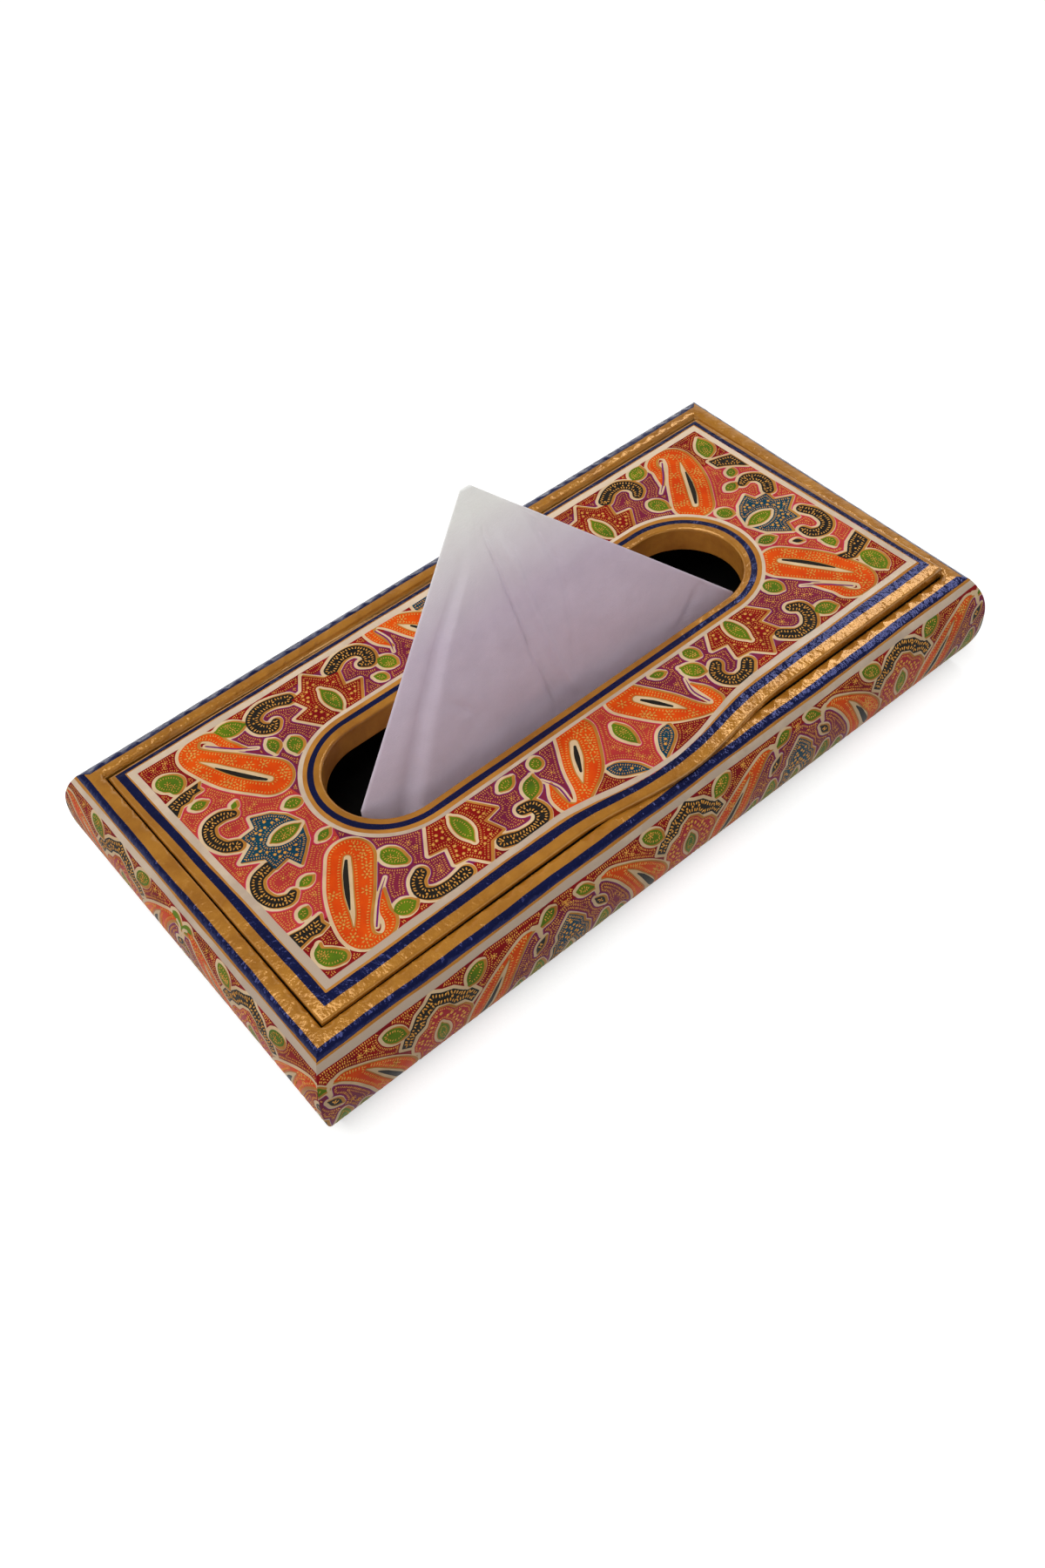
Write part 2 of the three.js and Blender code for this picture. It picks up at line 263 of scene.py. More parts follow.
def contours(field):
    """Lines where the field is zero, in cells. Each is (points, closed)."""
    inside = field < 0
    rows, columns = field.shape
    flat = inside[:, :-1] != inside[:, 1:]
    upright = inside[:-1] != inside[1:]
    r, c = np.nonzero(flat)
    share = field[r, c] / (field[r, c] - field[r, c + 1])
    places = dict(zip((r * columns + c).tolist(), np.column_stack([c + share, r]).tolist()))
    r, c = np.nonzero(upright)
    share = field[r, c] / (field[r, c] - field[r + 1, c])
    first = rows * columns
    places.update(zip((first + r * columns + c).tolist(), np.column_stack([c, r + share]).tolist()))

    links = {}
    sides = np.stack([flat[:-1], flat[1:], upright[:, :-1], upright[:, 1:]])
    for r, c in zip(*np.nonzero(sides.any(axis=0))):
        low = r * columns + c
        ids = (low, low + columns, first + low, first + low + 1)
        met = [i for i, crossed in zip(ids, sides[:, r, c]) if crossed]
        if len(met) == 4:
            met = [met[0], met[2], met[1], met[3]]
        for a, b in zip(met[::2], met[1::2]):
            links.setdefault(a, []).append(b)
            links.setdefault(b, []).append(a)

    lines = []
    left = set(links)
    for start in [i for i in links if len(links[i]) == 1] + list(links):
        if start not in left:
            continue
        chain = [start]
        left.discard(start)
        while True:
            onward = [i for i in links[chain[-1]] if i in left]
            if not onward:
                break
            chain.append(onward[0])
            left.discard(onward[0])
        closed = len(chain) > 2 and chain[0] in links[chain[-1]]
        lines.append((np.array([places[i] for i in chain]), closed))
    return lines


def thinned(points, tolerance):
    """The points that the line's shape needs, by Douglas and Peucker's rule."""
    keep = np.zeros(len(points), bool)
    keep[[0, -1]] = True
    spans = [(0, len(points) - 1)]
    while spans:
        a, b = spans.pop()
        if b - a < 2:
            continue
        along = points[b] - points[a]
        size = math.hypot(*along)
        rest = points[a + 1:b] - points[a]
        if size < 1e-6:
            away = np.hypot(rest[:, 0], rest[:, 1])
        else:
            away = np.abs(rest[:, 0] * along[1] - rest[:, 1] * along[0]) / size
        worst = int(away.argmax())
        if away[worst] > tolerance:
            keep[a + 1 + worst] = True
            spans += [(a, a + 1 + worst), (a + 1 + worst, b)]
    return points[keep]


class Painting:
    """A flat picture in layers, each a colour and a field that is negative where it lies."""

    def __init__(self, low, high):
        self.low = np.array(low, float)
        self.x = np.arange(low[0], high[0] + CELL, CELL)[None, :]
        self.y = np.arange(low[1], high[1] + CELL, CELL)[:, None]
        self.layers = []

    def around(self, shapes):
        """Distance to the nearest of these strokes or polygons."""
        field = np.full((self.y.size, self.x.size), FAR)
        for shape in shapes:
            stroke = len(shape[0]) == 3
            line = smooth_line(shape) if stroke else np.asarray(shape, float)
            reach = NEAR + (line[:, 2].max() if stroke else 0)
            columns = slice(*np.searchsorted(self.x[0], [line[:, 0].min() - reach,
                                                         line[:, 0].max() + reach]))
            rows = slice(*np.searchsorted(self.y[:, 0], [line[:, 1].min() - reach,
                                                         line[:, 1].max() + reach]))
            measure = stroke_distance if stroke else polygon_distance
            if columns.stop > columns.start and rows.stop > rows.start:
                near = measure(self.x[:, columns], self.y[rows], line)
                field[rows, columns] = np.minimum(field[rows, columns], near)
        return field

    def add(self, colour, field):
        self.layers.append((colour, np.broadcast_to(field, (self.y.size, self.x.size))))

    def at(self, field, points):
        """The field at points, from the four grid places round each."""
        place = (points - self.low) / CELL
        corner = np.floor(place).astype(int)
        corner[:, 0] = np.clip(corner[:, 0], 0, self.x.size - 2)
        corner[:, 1] = np.clip(corner[:, 1], 0, self.y.size - 2)
        u, v = np.clip(place - corner, 0, 1).T
        c, r = corner.T
        return ((field[r, c] * (1 - u) + field[r, c + 1] * u) * (1 - v)
                + (field[r + 1, c] * (1 - u) + field[r + 1, c + 1] * u) * v)

    def lines(self, field, level=0.0):
        return [(points * CELL + self.low, closed) for points, closed in contours(field - level)]

    def edges_to_cut(self):
        """The outlines of all layers where no later layer hides them."""
        cuts = []
        for index, (_, field) in enumerate(self.layers):
            for points, closed in self.lines(field):
                if closed:
                    points = np.vstack([points, points[:1]])
                shown = np.ones(len(points), bool)
                for _, later in self.layers[index + 1:]:
                    shown &= self.at(later, points) > -CELL
                for run in np.split(np.arange(len(points)), np.nonzero(~shown)[0]):
                    run = run[shown[run]]
                    if len(run) > 2:
                        cuts.append(thinned(points[run], CUT_TOLERANCE))
        return cuts

    def colour_at(self, points):
        found = np.full(len(points), -1)
        for index, (_, field) in enumerate(self.layers):
            found[self.at(field, points) < 0] = index
        return [self.layers[i][0] if i >= 0 else self.layers[0][0] for i in found]

    def room(self, *colours):
        """How far inside the shown area of these colours each grid place is."""
        room = np.full((self.y.size, self.x.size), -FAR)
        for colour, field in self.layers:
            if colour in colours:
                room = np.maximum(room, -field)
            else:
                room = np.minimum(room, field)
        return room


# Motifs. Each is (colour, strokes, what is painted inside it)

def moved(strokes, middle, sides=(1, 1), shift=(0, 0)):
    turned = []
    for stroke in strokes:
        turned.append([(middle[0] + sides[0] * (p[0] - middle[0]) + shift[0],
                        middle[1] + sides[1] * (p[1] - middle[1]) + shift[1], *p[2:])
                       for p in stroke])
    return turned


def moved_motif(motif, middle, sides=(1, 1), shift=(0, 0)):
    colour, strokes, inside = motif
    return (colour, moved(strokes, middle, sides, shift),
            [moved_motif(inner, middle, sides, shift) for inner in inside])


def leaf(*points):
    return ("green", [list(points)], [])


def black(*points):
    return ("black", [list(points)], [])


def wobbled(motif, dice, amount=0.12):
    """The motif as a second pass of the brush would give it, a little off."""
    colour, strokes, inside = motif
    shift = (dice.uniform(-2, 2) * amount, dice.uniform(-2, 2) * amount)
    loose = [[(p[0] + shift[0] + dice.uniform(-amount, amount),
               p[1] + shift[1] + dice.uniform(-amount, amount), *p[2:]) for p in stroke]
             for stroke in strokes]
    return (colour, loose, [moved_motif(inner, (0, 0), (1, 1), shift) for inner in inside])


# The flowers' petals, about their own middles. The red one's top runs in under the slot's ring.
RED_PETALS = [(-5.5, 8.5), (-7.9, 4.8), (-12.3, -1.9), (-6.7, -3.0), (-8.8, -9.2), (-4.4, -10.0),
              (-0.6, -15.6), (3.8, -10.0), (8.8, -9.2), (6.7, -3.0), (12.3, -1.9), (7.9, 4.8),
              (5.5, 8.5)]
RED_HEART = [(0.6, 4.8, 0.1), (0.8, 1.6, 1.8), (0.8, -2.2, 2.2), (0.4, -7.0, 0.1)]
END_PETALS = [(-15.6, 0), (-9.9, 3.2), (-10.6, 7.2), (-5.8, 7.6), (-4.8, 11.6), (0.5, 9.0),
              (3.6, 5.5), (5.6, 0), (3.4, -6), (0, -9.5), (-3.0, -12.2), (-4.6, -7.6),
              (-9.4, -8.6), (-9.6, -3.6)]
END_HEART = [(-5.2, 0, 0.1), (-2.4, 0, 1.8), (0.2, 0, 2.3), (2.6, 0, 1.5), (5.2, 0, 0.1)]


def flower(colour, petals, heart, x, y, sides=(1, 1)):
    motif = (colour, [petals], [("green", [heart], [])])
    return moved_motif(motif, (0, 0), sides, (x, y))


PURPLE_TRAIL = 0.28

# What is alike in the lid's four quarters, as it lies in the front left one
CORNER_PAISLEY = ("orange", [
    [(-85.0, -18.9, 6.6), (-91.6, -28.0, 6.5), (-96.6, -36.2, 4.9), (-98.4, -41.6, 3.7),
     (-97.0, -44.6, 2.3), (-93.9, -46.2, 0.9), (-91.1, -45.4, 1.2), (-89.0, -43.1, 1.6),
     (-88.4, -39.9, 1.35), (-86.5, -36.7, 0.85), (-84.5, -33.5, 0.1)],
], [
    black((-86.3, -18.8, 0.45), (-89.3, -22.8, 0.8), (-92.6, -28.2, 0.75), (-95.2, -33.0, 0.25)),
])
CORNER_SLIT = [[(-85.6, -18.3, 1.0), (-88.6, -22.6, 1.4), (-92.6, -29.0, 1.25),
                (-95.3, -34.4, 0.7), (-97.6, -38.2, 0.1)]]
MIDDLE_PAISLEY = ("orange", [
    [(-8.6, -27.6, 5.8), (-10.8, -31.6, 5.8), (-15.4, -39.0, 5.4), (-19.9, -44.6, 3.1),
     (-23.4, -47.8, 1.6), (-26.2, -48.8, 1.2), (-28.5, -47.2, 1.4), (-28.8, -44.9, 1.4),
     (-28.4, -41.6, 1.2), (-26.8, -37.0, 0.1)],
], [
    black((-12.0, -31.5, 0.45), (-14.3, -35.2, 0.8), (-16.9, -39.8, 0.4)),
])
MIDDLE_SLIT = [[(-11.5, -30.4, 1.2), (-14.2, -34.9, 1.7), (-17.2, -39.5, 1.15),
                (-19.4, -43.4, 0.1)]]
TRAILS = [
    [(-81.6, -30.9, 0.1), (-87.0, -35.4, PURPLE_TRAIL), (-93.0, -42.4, PURPLE_TRAIL)],
    [(-27.6, -34.6, 0.1), (-25.8, -40.0, PURPLE_TRAIL), (-26.6, -46.0, PURPLE_TRAIL)],
]
TEAL_LEAF = ("teal", [[(-10.9, -44.8, 0.7), (-8.4, -47.0, 2.4), (-4.9, -50.2, 1.6),
                       (-2.2, -53.4, 0.1)]], [])

# The small pieces of each quarter, which the painter laid differently each time
FRONT_LEFT = [
    black((-73.5, -36.5, 1.9), (-76, -38.2, 2), (-77.2, -41.8, 2), (-74.5, -44.6, 2),
          (-69.5, -45.4, 1.9), (-64, -44.9, 2.2)),
    black((-49.5, -44, 2.2), (-44.5, -46, 2), (-38.5, -46.2, 2), (-35.2, -43.8, 2.2),
          (-35.5, -40, 2.1), (-38.5, -39, 1.9)),
    black((-103.8, -5.5, 1.7), (-108.5, -6.8, 1.9), (-110.8, -11.1, 1.9), (-109.8, -16.2, 1.9),
          (-106.2, -18.5, 1.8), (-103.8, -17.6, 1.2)),
    black((-113.2, -28.4), (-108.5, -29.2), (-102.4, -28.6), (-103.5, -30.9), (-103, -32.8),
          (-105.8, -33.6), (-108, -33), (-113.2, -33.9)),
    leaf((-108, -36.2, 0.1), (-109.5, -38.6, 1.4), (-108.5, -41.5, 2.8), (-106, -43.4, 2)),
    leaf((-77, -23.2, 0.5), (-76, -26.1, 2.8), (-74.2, -29.9, 1.2)),
    leaf((-86, -41.8, 0.6), (-83.5, -42.6, 2.6), (-80.5, -43, 0.6)),
    leaf((-39, -29.2, 0.3), (-36.2, -28.5, 1.8), (-33, -27.5, 0.1)),
    leaf((-26.2, -29.9, 0.1), (-24.9, -28.6, 1.9), (-23.9, -26.8, 0.3)),
    leaf((-34.5, -38.2, 0.1), (-31.5, -34.5, 2.5), (-28.5, -31, 0.1)),
    leaf((-101.2, -17, 0.1), (-98.8, -16.8, 1.5), (-96.4, -16.5, 0.1)),
    leaf((-107.2, -26.5, 0.1), (-105.5, -25.2, 1.5), (-103.8, -24, 0.1)),
    leaf((-88.2, -7.5, 0.1), (-85.8, -6.9, 1.4), (-83.5, -6.1, 0.1)),
]
BACK_LEFT = [
    black((-64, 43.8, 2.2), (-68.2, 45.8, 2), (-73, 46.2, 2.1), (-76.8, 43.8, 2.2),
          (-77, 39.8, 2.2), (-74, 37.2, 1.9), (-71.8, 38.5, 1.4)),
    black((-47, 44.5, 2.2), (-42, 47, 2.1), (-36.8, 46.5, 2.2), (-34.5, 42.8, 2.2),
          (-35.8, 39.2, 2), (-38.2, 40, 1.4)),
    black((-101, 17.5, 1.3), (-104.5, 19, 1.9), (-108.8, 18.2, 1.9), (-110.8, 13.9, 1.9),
          (-109.5, 9.2, 1.9), (-106.5, 7, 2)),
    black((-113.8, 33), (-108.9, 34.1), (-102.2, 34.5), (-103.6, 32.8), (-103.1, 31.4),
          (-106, 31.4), (-108, 30.1), (-110.8, 30.2), (-113.8, 27.5)),
    leaf((-110.5, 43.5, 0.3), (-109.8, 41, 2.9), (-108, 39.2, 3), (-108.8, 36.8, 1.6)),
    leaf((-88.2, 48, 0.1), (-84.2, 45.8, 3), (-79.2, 44.2, 0.4)),
    leaf((-77.8, 34, 0.1), (-77.6, 31.2, 1.9), (-78.8, 28, 0.1)),
    leaf((-72, 30.2, 0.1), (-72.5, 27, 2.5), (-74, 23.8, 0.3)),
    leaf((-33.2, 38.2, 0.3), (-31.8, 35.2, 2.6), (-30.2, 32.5, 0.3)),
    leaf((-38.5, 32.8, 0.3), (-37, 31.2, 1.5), (-36, 29.5, 0.1)),
    leaf((-109, 27.5, 0.3), (-106.8, 27, 1.6), (-104.2, 26.6, 0.1)),
    leaf((-100.2, 19, 0.1), (-99.1, 19.8, 0.9), (-98, 20.8, 0.1)),
    leaf((-88.5, 9.2, 0.2), (-85.8, 8.8, 1.9), (-83.2, 8, 0.1)),
]
FRONT_RIGHT = [
    black((40.5, -36.8, 1.8), (38.2, -39, 2), (38, -42.5, 2), (40.8, -45.5, 2.1), (45, -45.2, 2.1),
          (48.2, -42.6, 2)),
    black((64, -41.4, 2), (67.8, -44.8, 2.1), (72.5, -45, 2.2), (76, -41.8, 2.2),
          (76.8, -37.6, 2.1), (74.4, -35.5, 1.7)),
    black((111, -5.5, 1.8), (113, -10.5, 2), (111.9, -15.8, 2), (108.1, -17.8, 2.1),
          (104.5, -16, 1.9), (103.8, -13, 1.4)),
    black((102.2, -29.2), (105.6, -30.5), (109.4, -27.4), (114.8, -25.5), (114.8, -31.2),
          (109.4, -33.2), (105.6, -34), (102.5, -32.4)),
    leaf((108.2, -34, 0.1), (109.2, -37, 3), (109, -40.5, 3.1), (108.5, -44.5, 0.1)),
    leaf((75.5, -22, 0.1), (77.2, -25, 2.6), (78.5, -28.2, 0.1)),
    leaf((78.8, -42.2, 0.5), (81.8, -43.1, 2.6), (84.8, -44.8, 0.4)),
    leaf((22.9, -26.5, 0.3), (25, -27.6, 1.3), (27.1, -28.2, 0.1)),
    leaf((36.8, -25.8, 0.1), (38.2, -28.1, 2.1), (39.5, -30.5, 0.3)),
    leaf((31.5, -30, 0.1), (33.9, -33.5, 2.6), (35.8, -36.2, 0.5)),
    leaf((104.1, -20.5, 0.1), (105.8, -23, 1.8), (105, -25.5, 0.2)),
    leaf((88.8, -7.2, 0.1), (91.8, -8.1, 2), (94.8, -9.2, 0.1)),
    black((97.2, -14.5, 0.1), (98.5, -15.5, 0.9), (99.8, -16.8, 0.1)),
]
BACK_RIGHT = [
    black((67.5, 44, 2.2), (71.5, 46.5, 2.1), (76, 46.8, 2.2), (79, 44.2, 2.2), (79.4, 40.8, 2.1),
          (77.5, 38.5, 1.6)),
    black((106.5, 17.8, 1.4), (109.5, 18.8, 1.9), (112.5, 16.4, 2), (112.8, 12.6, 2),
          (110.5, 9.2, 2)),
    black((106.9, 34.2), (110.6, 33.2), (115, 31.4), (115, 23.2), (111.9, 26.6), (108.8, 29),
          (106.9, 30)),
    leaf((113.2, 46.2, 0.1), (112.2, 43, 2), (111, 40, 2.9), (109, 37.2, 1.2)),
    leaf((81.8, 45.5, 0.3), (85, 47, 2.7), (88.2, 49.5, 0.1)),
    leaf((77.5, 33, 0.1), (78.6, 29.9, 2.7), (80.2, 26.2, 0.3)),
    leaf((100.2, 18.9, 0.1), (102.6, 19.1, 1.7), (104.8, 19.5, 0.3)),
    leaf((106.5, 23.2, 0.1), (108.1, 24.5, 1.6), (109.8, 26, 0.1)),
    leaf((90.5, 13, 0.3), (91.6, 11, 2.3), (93.2, 8.8, 0.3)),
]

FLOWERS = [
    flower("red", RED_PETALS, RED_HEART, -55.9, -31.4),
    flower("red", RED_PETALS, RED_HEART, 56.0, -29.8, (-1, 1)),
    flower("red", RED_PETALS, RED_HEART, -54.5, 33.3, (1, -1)),
    flower("red", RED_PETALS, RED_HEART, 58.1, 33.0, (-1, -1)),
    flower("teal", END_PETALS, END_HEART, -93.5, 1.1),
    flower("teal", END_PETALS, END_HEART, 98.0, 1.1, (-1, 1)),
]
FRONT_MIDDLE_LEAF = leaf((1.6, -33.6, 0.8), (1.6, -36.8, 2.2), (1.9, -40.3, 1.5), (2.1, -43.4, 0.1))
PURPLE_PATCH = [(-91, -41), (-75, -44.2), (-20, -44.2), (-12, -25), (-12, 5), (-84, 5), (-84, -15)]
CORAL_PATCHES = [
    [(-80, 4), (-84, -15), (-92, -27), (-98, -31), (-104, -30.5), (-118, -31), (-118, 4)],
    [(-12, -20), (-10, -34), (-16, -42), (-7, -47), (-3, -58), (6, -58), (6, -20)],
]


def lid_motifs(dice):
    """What is painted inside the lid's border: motifs, slits, trails, and the two tinted grounds."""
    plain = FRONT_LEFT + FRONT_RIGHT + BACK_LEFT + BACK_RIGHT + FLOWERS
    slits, trails, purple, coral = [], [], [], []
    for across in (1, -1):
        for along in (1, -1):
            sides = (across, along)
            for motif in (CORNER_PAISLEY, MIDDLE_PAISLEY, TEAL_LEAF):
                plain.append(wobbled(moved_motif(motif, LID_MIDDLE, sides), dice))
            slits += moved(CORNER_SLIT + MIDDLE_SLIT, LID_MIDDLE, sides)
            trails += moved(TRAILS, LID_MIDDLE, sides)
            purple += moved([PURPLE_PATCH], LID_MIDDLE, sides)
            coral += moved(CORAL_PATCHES, LID_MIDDLE, sides)
        plain.append(moved_motif(FRONT_MIDDLE_LEAF, LID_MIDDLE, (1, across)))
    return plain, slits, trails, purple, coral


# A wall's ornament: an arch group, repeated, and a hooded flower between two groups
def mirrored(half):
    """Half an outline, from its outer end to the middle, made whole."""
    return [(-x, y) for x, y in half if x] + half[::-1]


ARCH_OUTSIDE = [(13.5, -15.0), (11.6, -11.6), (8.9, -10.2), (6.4, -7.4), (3.0, -6.1), (0, -4.2)]
ARCH_INSIDE = [(10.5, -17.4), (8.5, -14.0), (5.0, -12.8), (3.5, -10.8), (0, -9.1)]
ARCH = ("arch", [mirrored(ARCH_OUTSIDE) + mirrored(ARCH_INSIDE)[::-1]], [])
ARCH_PETALS = [(7.9, -42.0), (7.9, -28.0), (8.2, -23.4), (10.0, -21.2), (9.7, -18.4),
               (7.8, -15.6), (4.7, -14.4), (3.0, -11.6), (0, -10.2)]
ARCH_FLOWER = ("coral", [mirrored(ARCH_PETALS)],
               [leaf((0, -16.6, 0.1), (0, -20.0, 1.8), (0, -23.0, 1.9), (0, -27.0, 0.1))])
SIDE_PAISLEY = ("orange", [
    [(34.3, -8.2, 0.1), (30.9, -8.9, 1.2), (26.6, -12.0, 2.5), (22.8, -15.7, 3.9),
     (19.2, -20.2, 5.2), (16.4, -26.0, 6.4), (15.6, -31.5, 6.0)],
], [
    black((21.5, -16.7, 0.2), (19.3, -20.0, 0.7), (16.7, -25.2, 1.0), (14.9, -29.0, 1.0),
          (14.2, -31.4, 0.2)),
])
SIDE_SLIT = [(24.6, -12.2, 0.1), (22.2, -15.4, 0.8), (19.4, -20.4, 1.35), (16.5, -25.8, 1.75),
             (15.0, -31.0, 1.7)]
SIDE_HOOK = [(34.3, -7.9, 0.5), (36.1, -9.0, 0.5), (36.2, -12.0, 0.1)]
SIDE_LEAVES = [
    leaf((17.4, -5.9, 0.1), (15.6, -7.0, 1.7), (13.2, -8.3, 2.3), (10.9, -10.0, 0.5)),
    leaf((42.6, -6.6, 0.1), (40.2, -7.4, 1.6), (36.9, -9.0, 0.4)),
    black((37.6, -13.2, 0.1), (35.6, -15.8, 1.3), (33.8, -18.3, 0.1)),
    leaf((34.4, -23.4, 1.0), (34.4, -27.5, 2.3), (34.6, -33.0, 2.6), (35.0, -40.0, 2.0)),
    leaf((27.6, -27.2, 0.8), (27.2, -31.0, 2.0), (27.4, -38.0, 2.1)),
]
HOOD_PETALS = [(7.6, -42.0), (7.4, -31.0), (6.9, -26.0), (6.8, -22.0), (4.9, -19.8),
               (4.9, -17.3), (2.2, -13.9), (0, -11.8)]
HOODED_FLOWER = ("teal", [mirrored(HOOD_PETALS)],
                 [leaf((0, -25.5, 0.1), (0, -29.0, 1.3), (0, -34.0, 1.8), (0, -39.0, 1.0))])
GROUP_PITCH = 93.0
PATTERN_RISE = 2.8
# On a wall without hooded flowers, the veil in its middle is narrower
LONE_VEIL_SHARE = 0.5
PURPLE_VEIL = [(-15, -9.5), (0, -7.6), (15, -9.5), (24, -20), (29, -37), (-29, -37), (-24, -20)]


def on_wall(strokes, centre, side, share, rise):
    """A group's strokes at their place on a wall, where the pattern rises to the right."""
    placed = []
    for stroke in strokes:
        along = [centre + side * p[0] * share for p in stroke]
        placed.append([(x, p[1] + rise * x, *p[2:]) for x, p in zip(along, stroke)])
    return placed


def motif_on_wall(motif, *place):
    colour, strokes, inside = motif
    return (colour, on_wall(strokes, *place), [motif_on_wall(m, *place) for m in inside])


def wall_motifs(groups, flowers, share, rise, dice):
    """What is painted on a wall, in the same order as lid_motifs() gives it."""
    plain, slits, hooks, purple = [], [], [], []
    for centre in groups:
        for motif in (ARCH, ARCH_FLOWER):
            plain.append(motif_on_wall(motif, centre, 1, 1, rise))
        for side in (-1, 1):
            place = (centre, side, share, rise)
            for motif in [SIDE_PAISLEY] + SIDE_LEAVES:
                plain.append(wobbled(motif_on_wall(motif, *place), dice))
            slits += on_wall([SIDE_SLIT], *place)
            hooks += on_wall([SIDE_HOOK], *place)
    for centre in flowers:
        plain.append(motif_on_wall(HOODED_FLOWER, centre, 1, 1, rise))
        purple += on_wall([PURPLE_VEIL], centre, 1, 1, rise)
    if not flowers:
        purple += on_wall([PURPLE_VEIL], 0, 1, LONE_VEIL_SHARE, rise)
    return plain, slits, hooks, purple, []


# From motifs to layers

def shapes_of(motifs, wanted):
    """All strokes and polygons of the motifs of one colour."""
    return [stroke for colour, strokes, _ in motifs if colour == wanted for stroke in strokes]


def offset(field, across, up):
    return np.roll(field, (up, across), axis=(0, 1))


def paint_motifs(painting, ornament, trail_colour):
    """Lays the grounds, then the motifs with their cream halos and gold lines, then what is inside."""
    motifs, slits, trails, purple, coral = ornament
    painting.add("crimson", np.full(1, -FAR))
    grounds = painting.around(purple), painting.around(coral)
    painting.add("purple", grounds[0])
    painting.add("coral_ground", grounds[1])
    arches, corals = shapes_of(motifs, "arch"), shapes_of(motifs, "coral")
    if arches:
        around = painting.around(arches)
        painting.add("cream", around - HALO)
        painting.add("black", around)
    if corals:
        around = painting.around(corals)
        painting.add("cream", around - HALO)
        painting.add("gold_line", offset(around, GOLD_SHIFT, 0) - GOLD_EDGE)
        painting.add("coral", around)
    fields = {colour: painting.around(shapes_of(motifs, colour))
              for colour in ("green", "black", "red", "teal", "orange")
              if shapes_of(motifs, colour)}
    around = np.minimum.reduce(list(fields.values()))
    trail = painting.around(trails)
    halo = np.minimum(around, trail + TRAIL_SHARE * HALO) - HALO
    for colour, field in zip(("purple_line", "magenta"), grounds):
        painting.add(colour, np.maximum(field, halo - GROUND_EDGE))
    painting.add("cream", halo)
    painting.add("gold_line", offset(around, GOLD_SHIFT, -1) - GOLD_EDGE)
    for colour, field in fields.items():
        painting.add(colour, field)
    slit = painting.around(slits)
    painting.add("gold_line", slit - GOLD_EDGE)
    painting.add("cream", slit)
    inner = [m for motif in motifs for m in motif[2]]
    leaves = painting.around(shapes_of(inner, "green"))
    painting.add("cream", leaves - INNER_HALO)
    painting.add("gold_line", leaves - INNER_GOLD)
    painting.add("green", leaves)
    painting.add("black", painting.around(shapes_of(inner, "black")))
    painting.add(trail_colour, trail)


def wavy(along, dice, amount):
    """A hand-drawn line's wander, the same each run."""
    wander = 0
    for length in WANDER_LENGTHS:
        wander = wander + amount * (length / WANDER_LENGTHS[0]) ** WANDER_POWER * np.sin(
            along * 2 * math.pi / length + dice.uniform(0, 2 * math.pi))
    return wander


# The lid's surface

def lid_lift(x, y):
    along = (x + LID_HALF_LENGTH) / (2 * LID_HALF_LENGTH)
    at_front = LIFT_FRONT_LEFT + (LIFT_FRONT_RIGHT - LIFT_FRONT_LEFT) * along
    return at_front * np.maximum(0, (HINGE_Y - y) / (HINGE_Y - LID_FRONT))


def tab_swell(x, reach=TAB_REACH, middle=TAB_SHIFT, length=TAB_LENGTH):
    along = np.clip((x - middle) / length, -0.5, 0.5)
    return reach * np.cos(math.pi * along) ** 2


def slot_distance(x, y):
    past = np.maximum(np.abs(x - SLOT_CENTRE[0]) - SLOT_STRAIGHT, 0)
    return np.hypot(past, y - SLOT_CENTRE[1]) - SLOT_RADIUS


def lid_ease(x, y):
    """How far the worn edges fall away from the lid's plane."""
    beside = np.minimum(LID_HALF_LENGTH - np.abs(x), LID_BACK - y)
    ahead = y - LID_FRONT + tab_swell(x)
    return np.maximum(EASE_DEPTH * np.clip(1 - beside / EASE_REACH, 0, 1) ** 2,
                      FRONT_EASE_DEPTH * np.clip(1 - ahead / FRONT_EASE_REACH, 0, 1) ** 2)


def lid_height(x, y):
    return BOX_HEIGHT + lid_lift(x, y) - lid_ease(x, y)


def lid_place(x, y, up=0.0):
    return np.column_stack([x, y, lid_height(x, y) + up])


def lid_normal(x, y, step=0.05):
    along = (lid_height(x + step, y) - lid_height(x - step, y)) / (2 * step)
    back = (lid_height(x, y + step) - lid_height(x, y - step)) / (2 * step)
    normal = np.column_stack([-along, -back, np.ones_like(x)])
    return normal / np.linalg.norm(normal, axis=1, keepdims=True)


# Outer limit of each band, in from the lid's edges: left at its back and front, right, front,
# back, and the tab's swell there. The last line ends the cream.
LID_BANDS = [
    ("navy", 2.0, 3.5, 1.95, 3.5, 0.2, 4.7),
    ("gold_line", 4.4, 6.2, 3.6, 6.3, 2.4, 5.2),
    ("border_cream", 5.0, 6.8, 4.0, 7.0, 2.8, 5.7),
    (None, 7.2, 9.4, 6.0, 9.2, 5.1, 6.4),
]
INNER_SWELL_MIDDLE = 4.5
# Outer limit of each ring round the slot
SLOT_RINGS = [("border_cream", 7.2), ("gold_line", 5.9), ("navy", 4.4), ("gold", 2.5)]
LID_PLAN = ((-124, -64), (124, 58))
LID_SEED = 11
LID_MARKS_SEED = 31


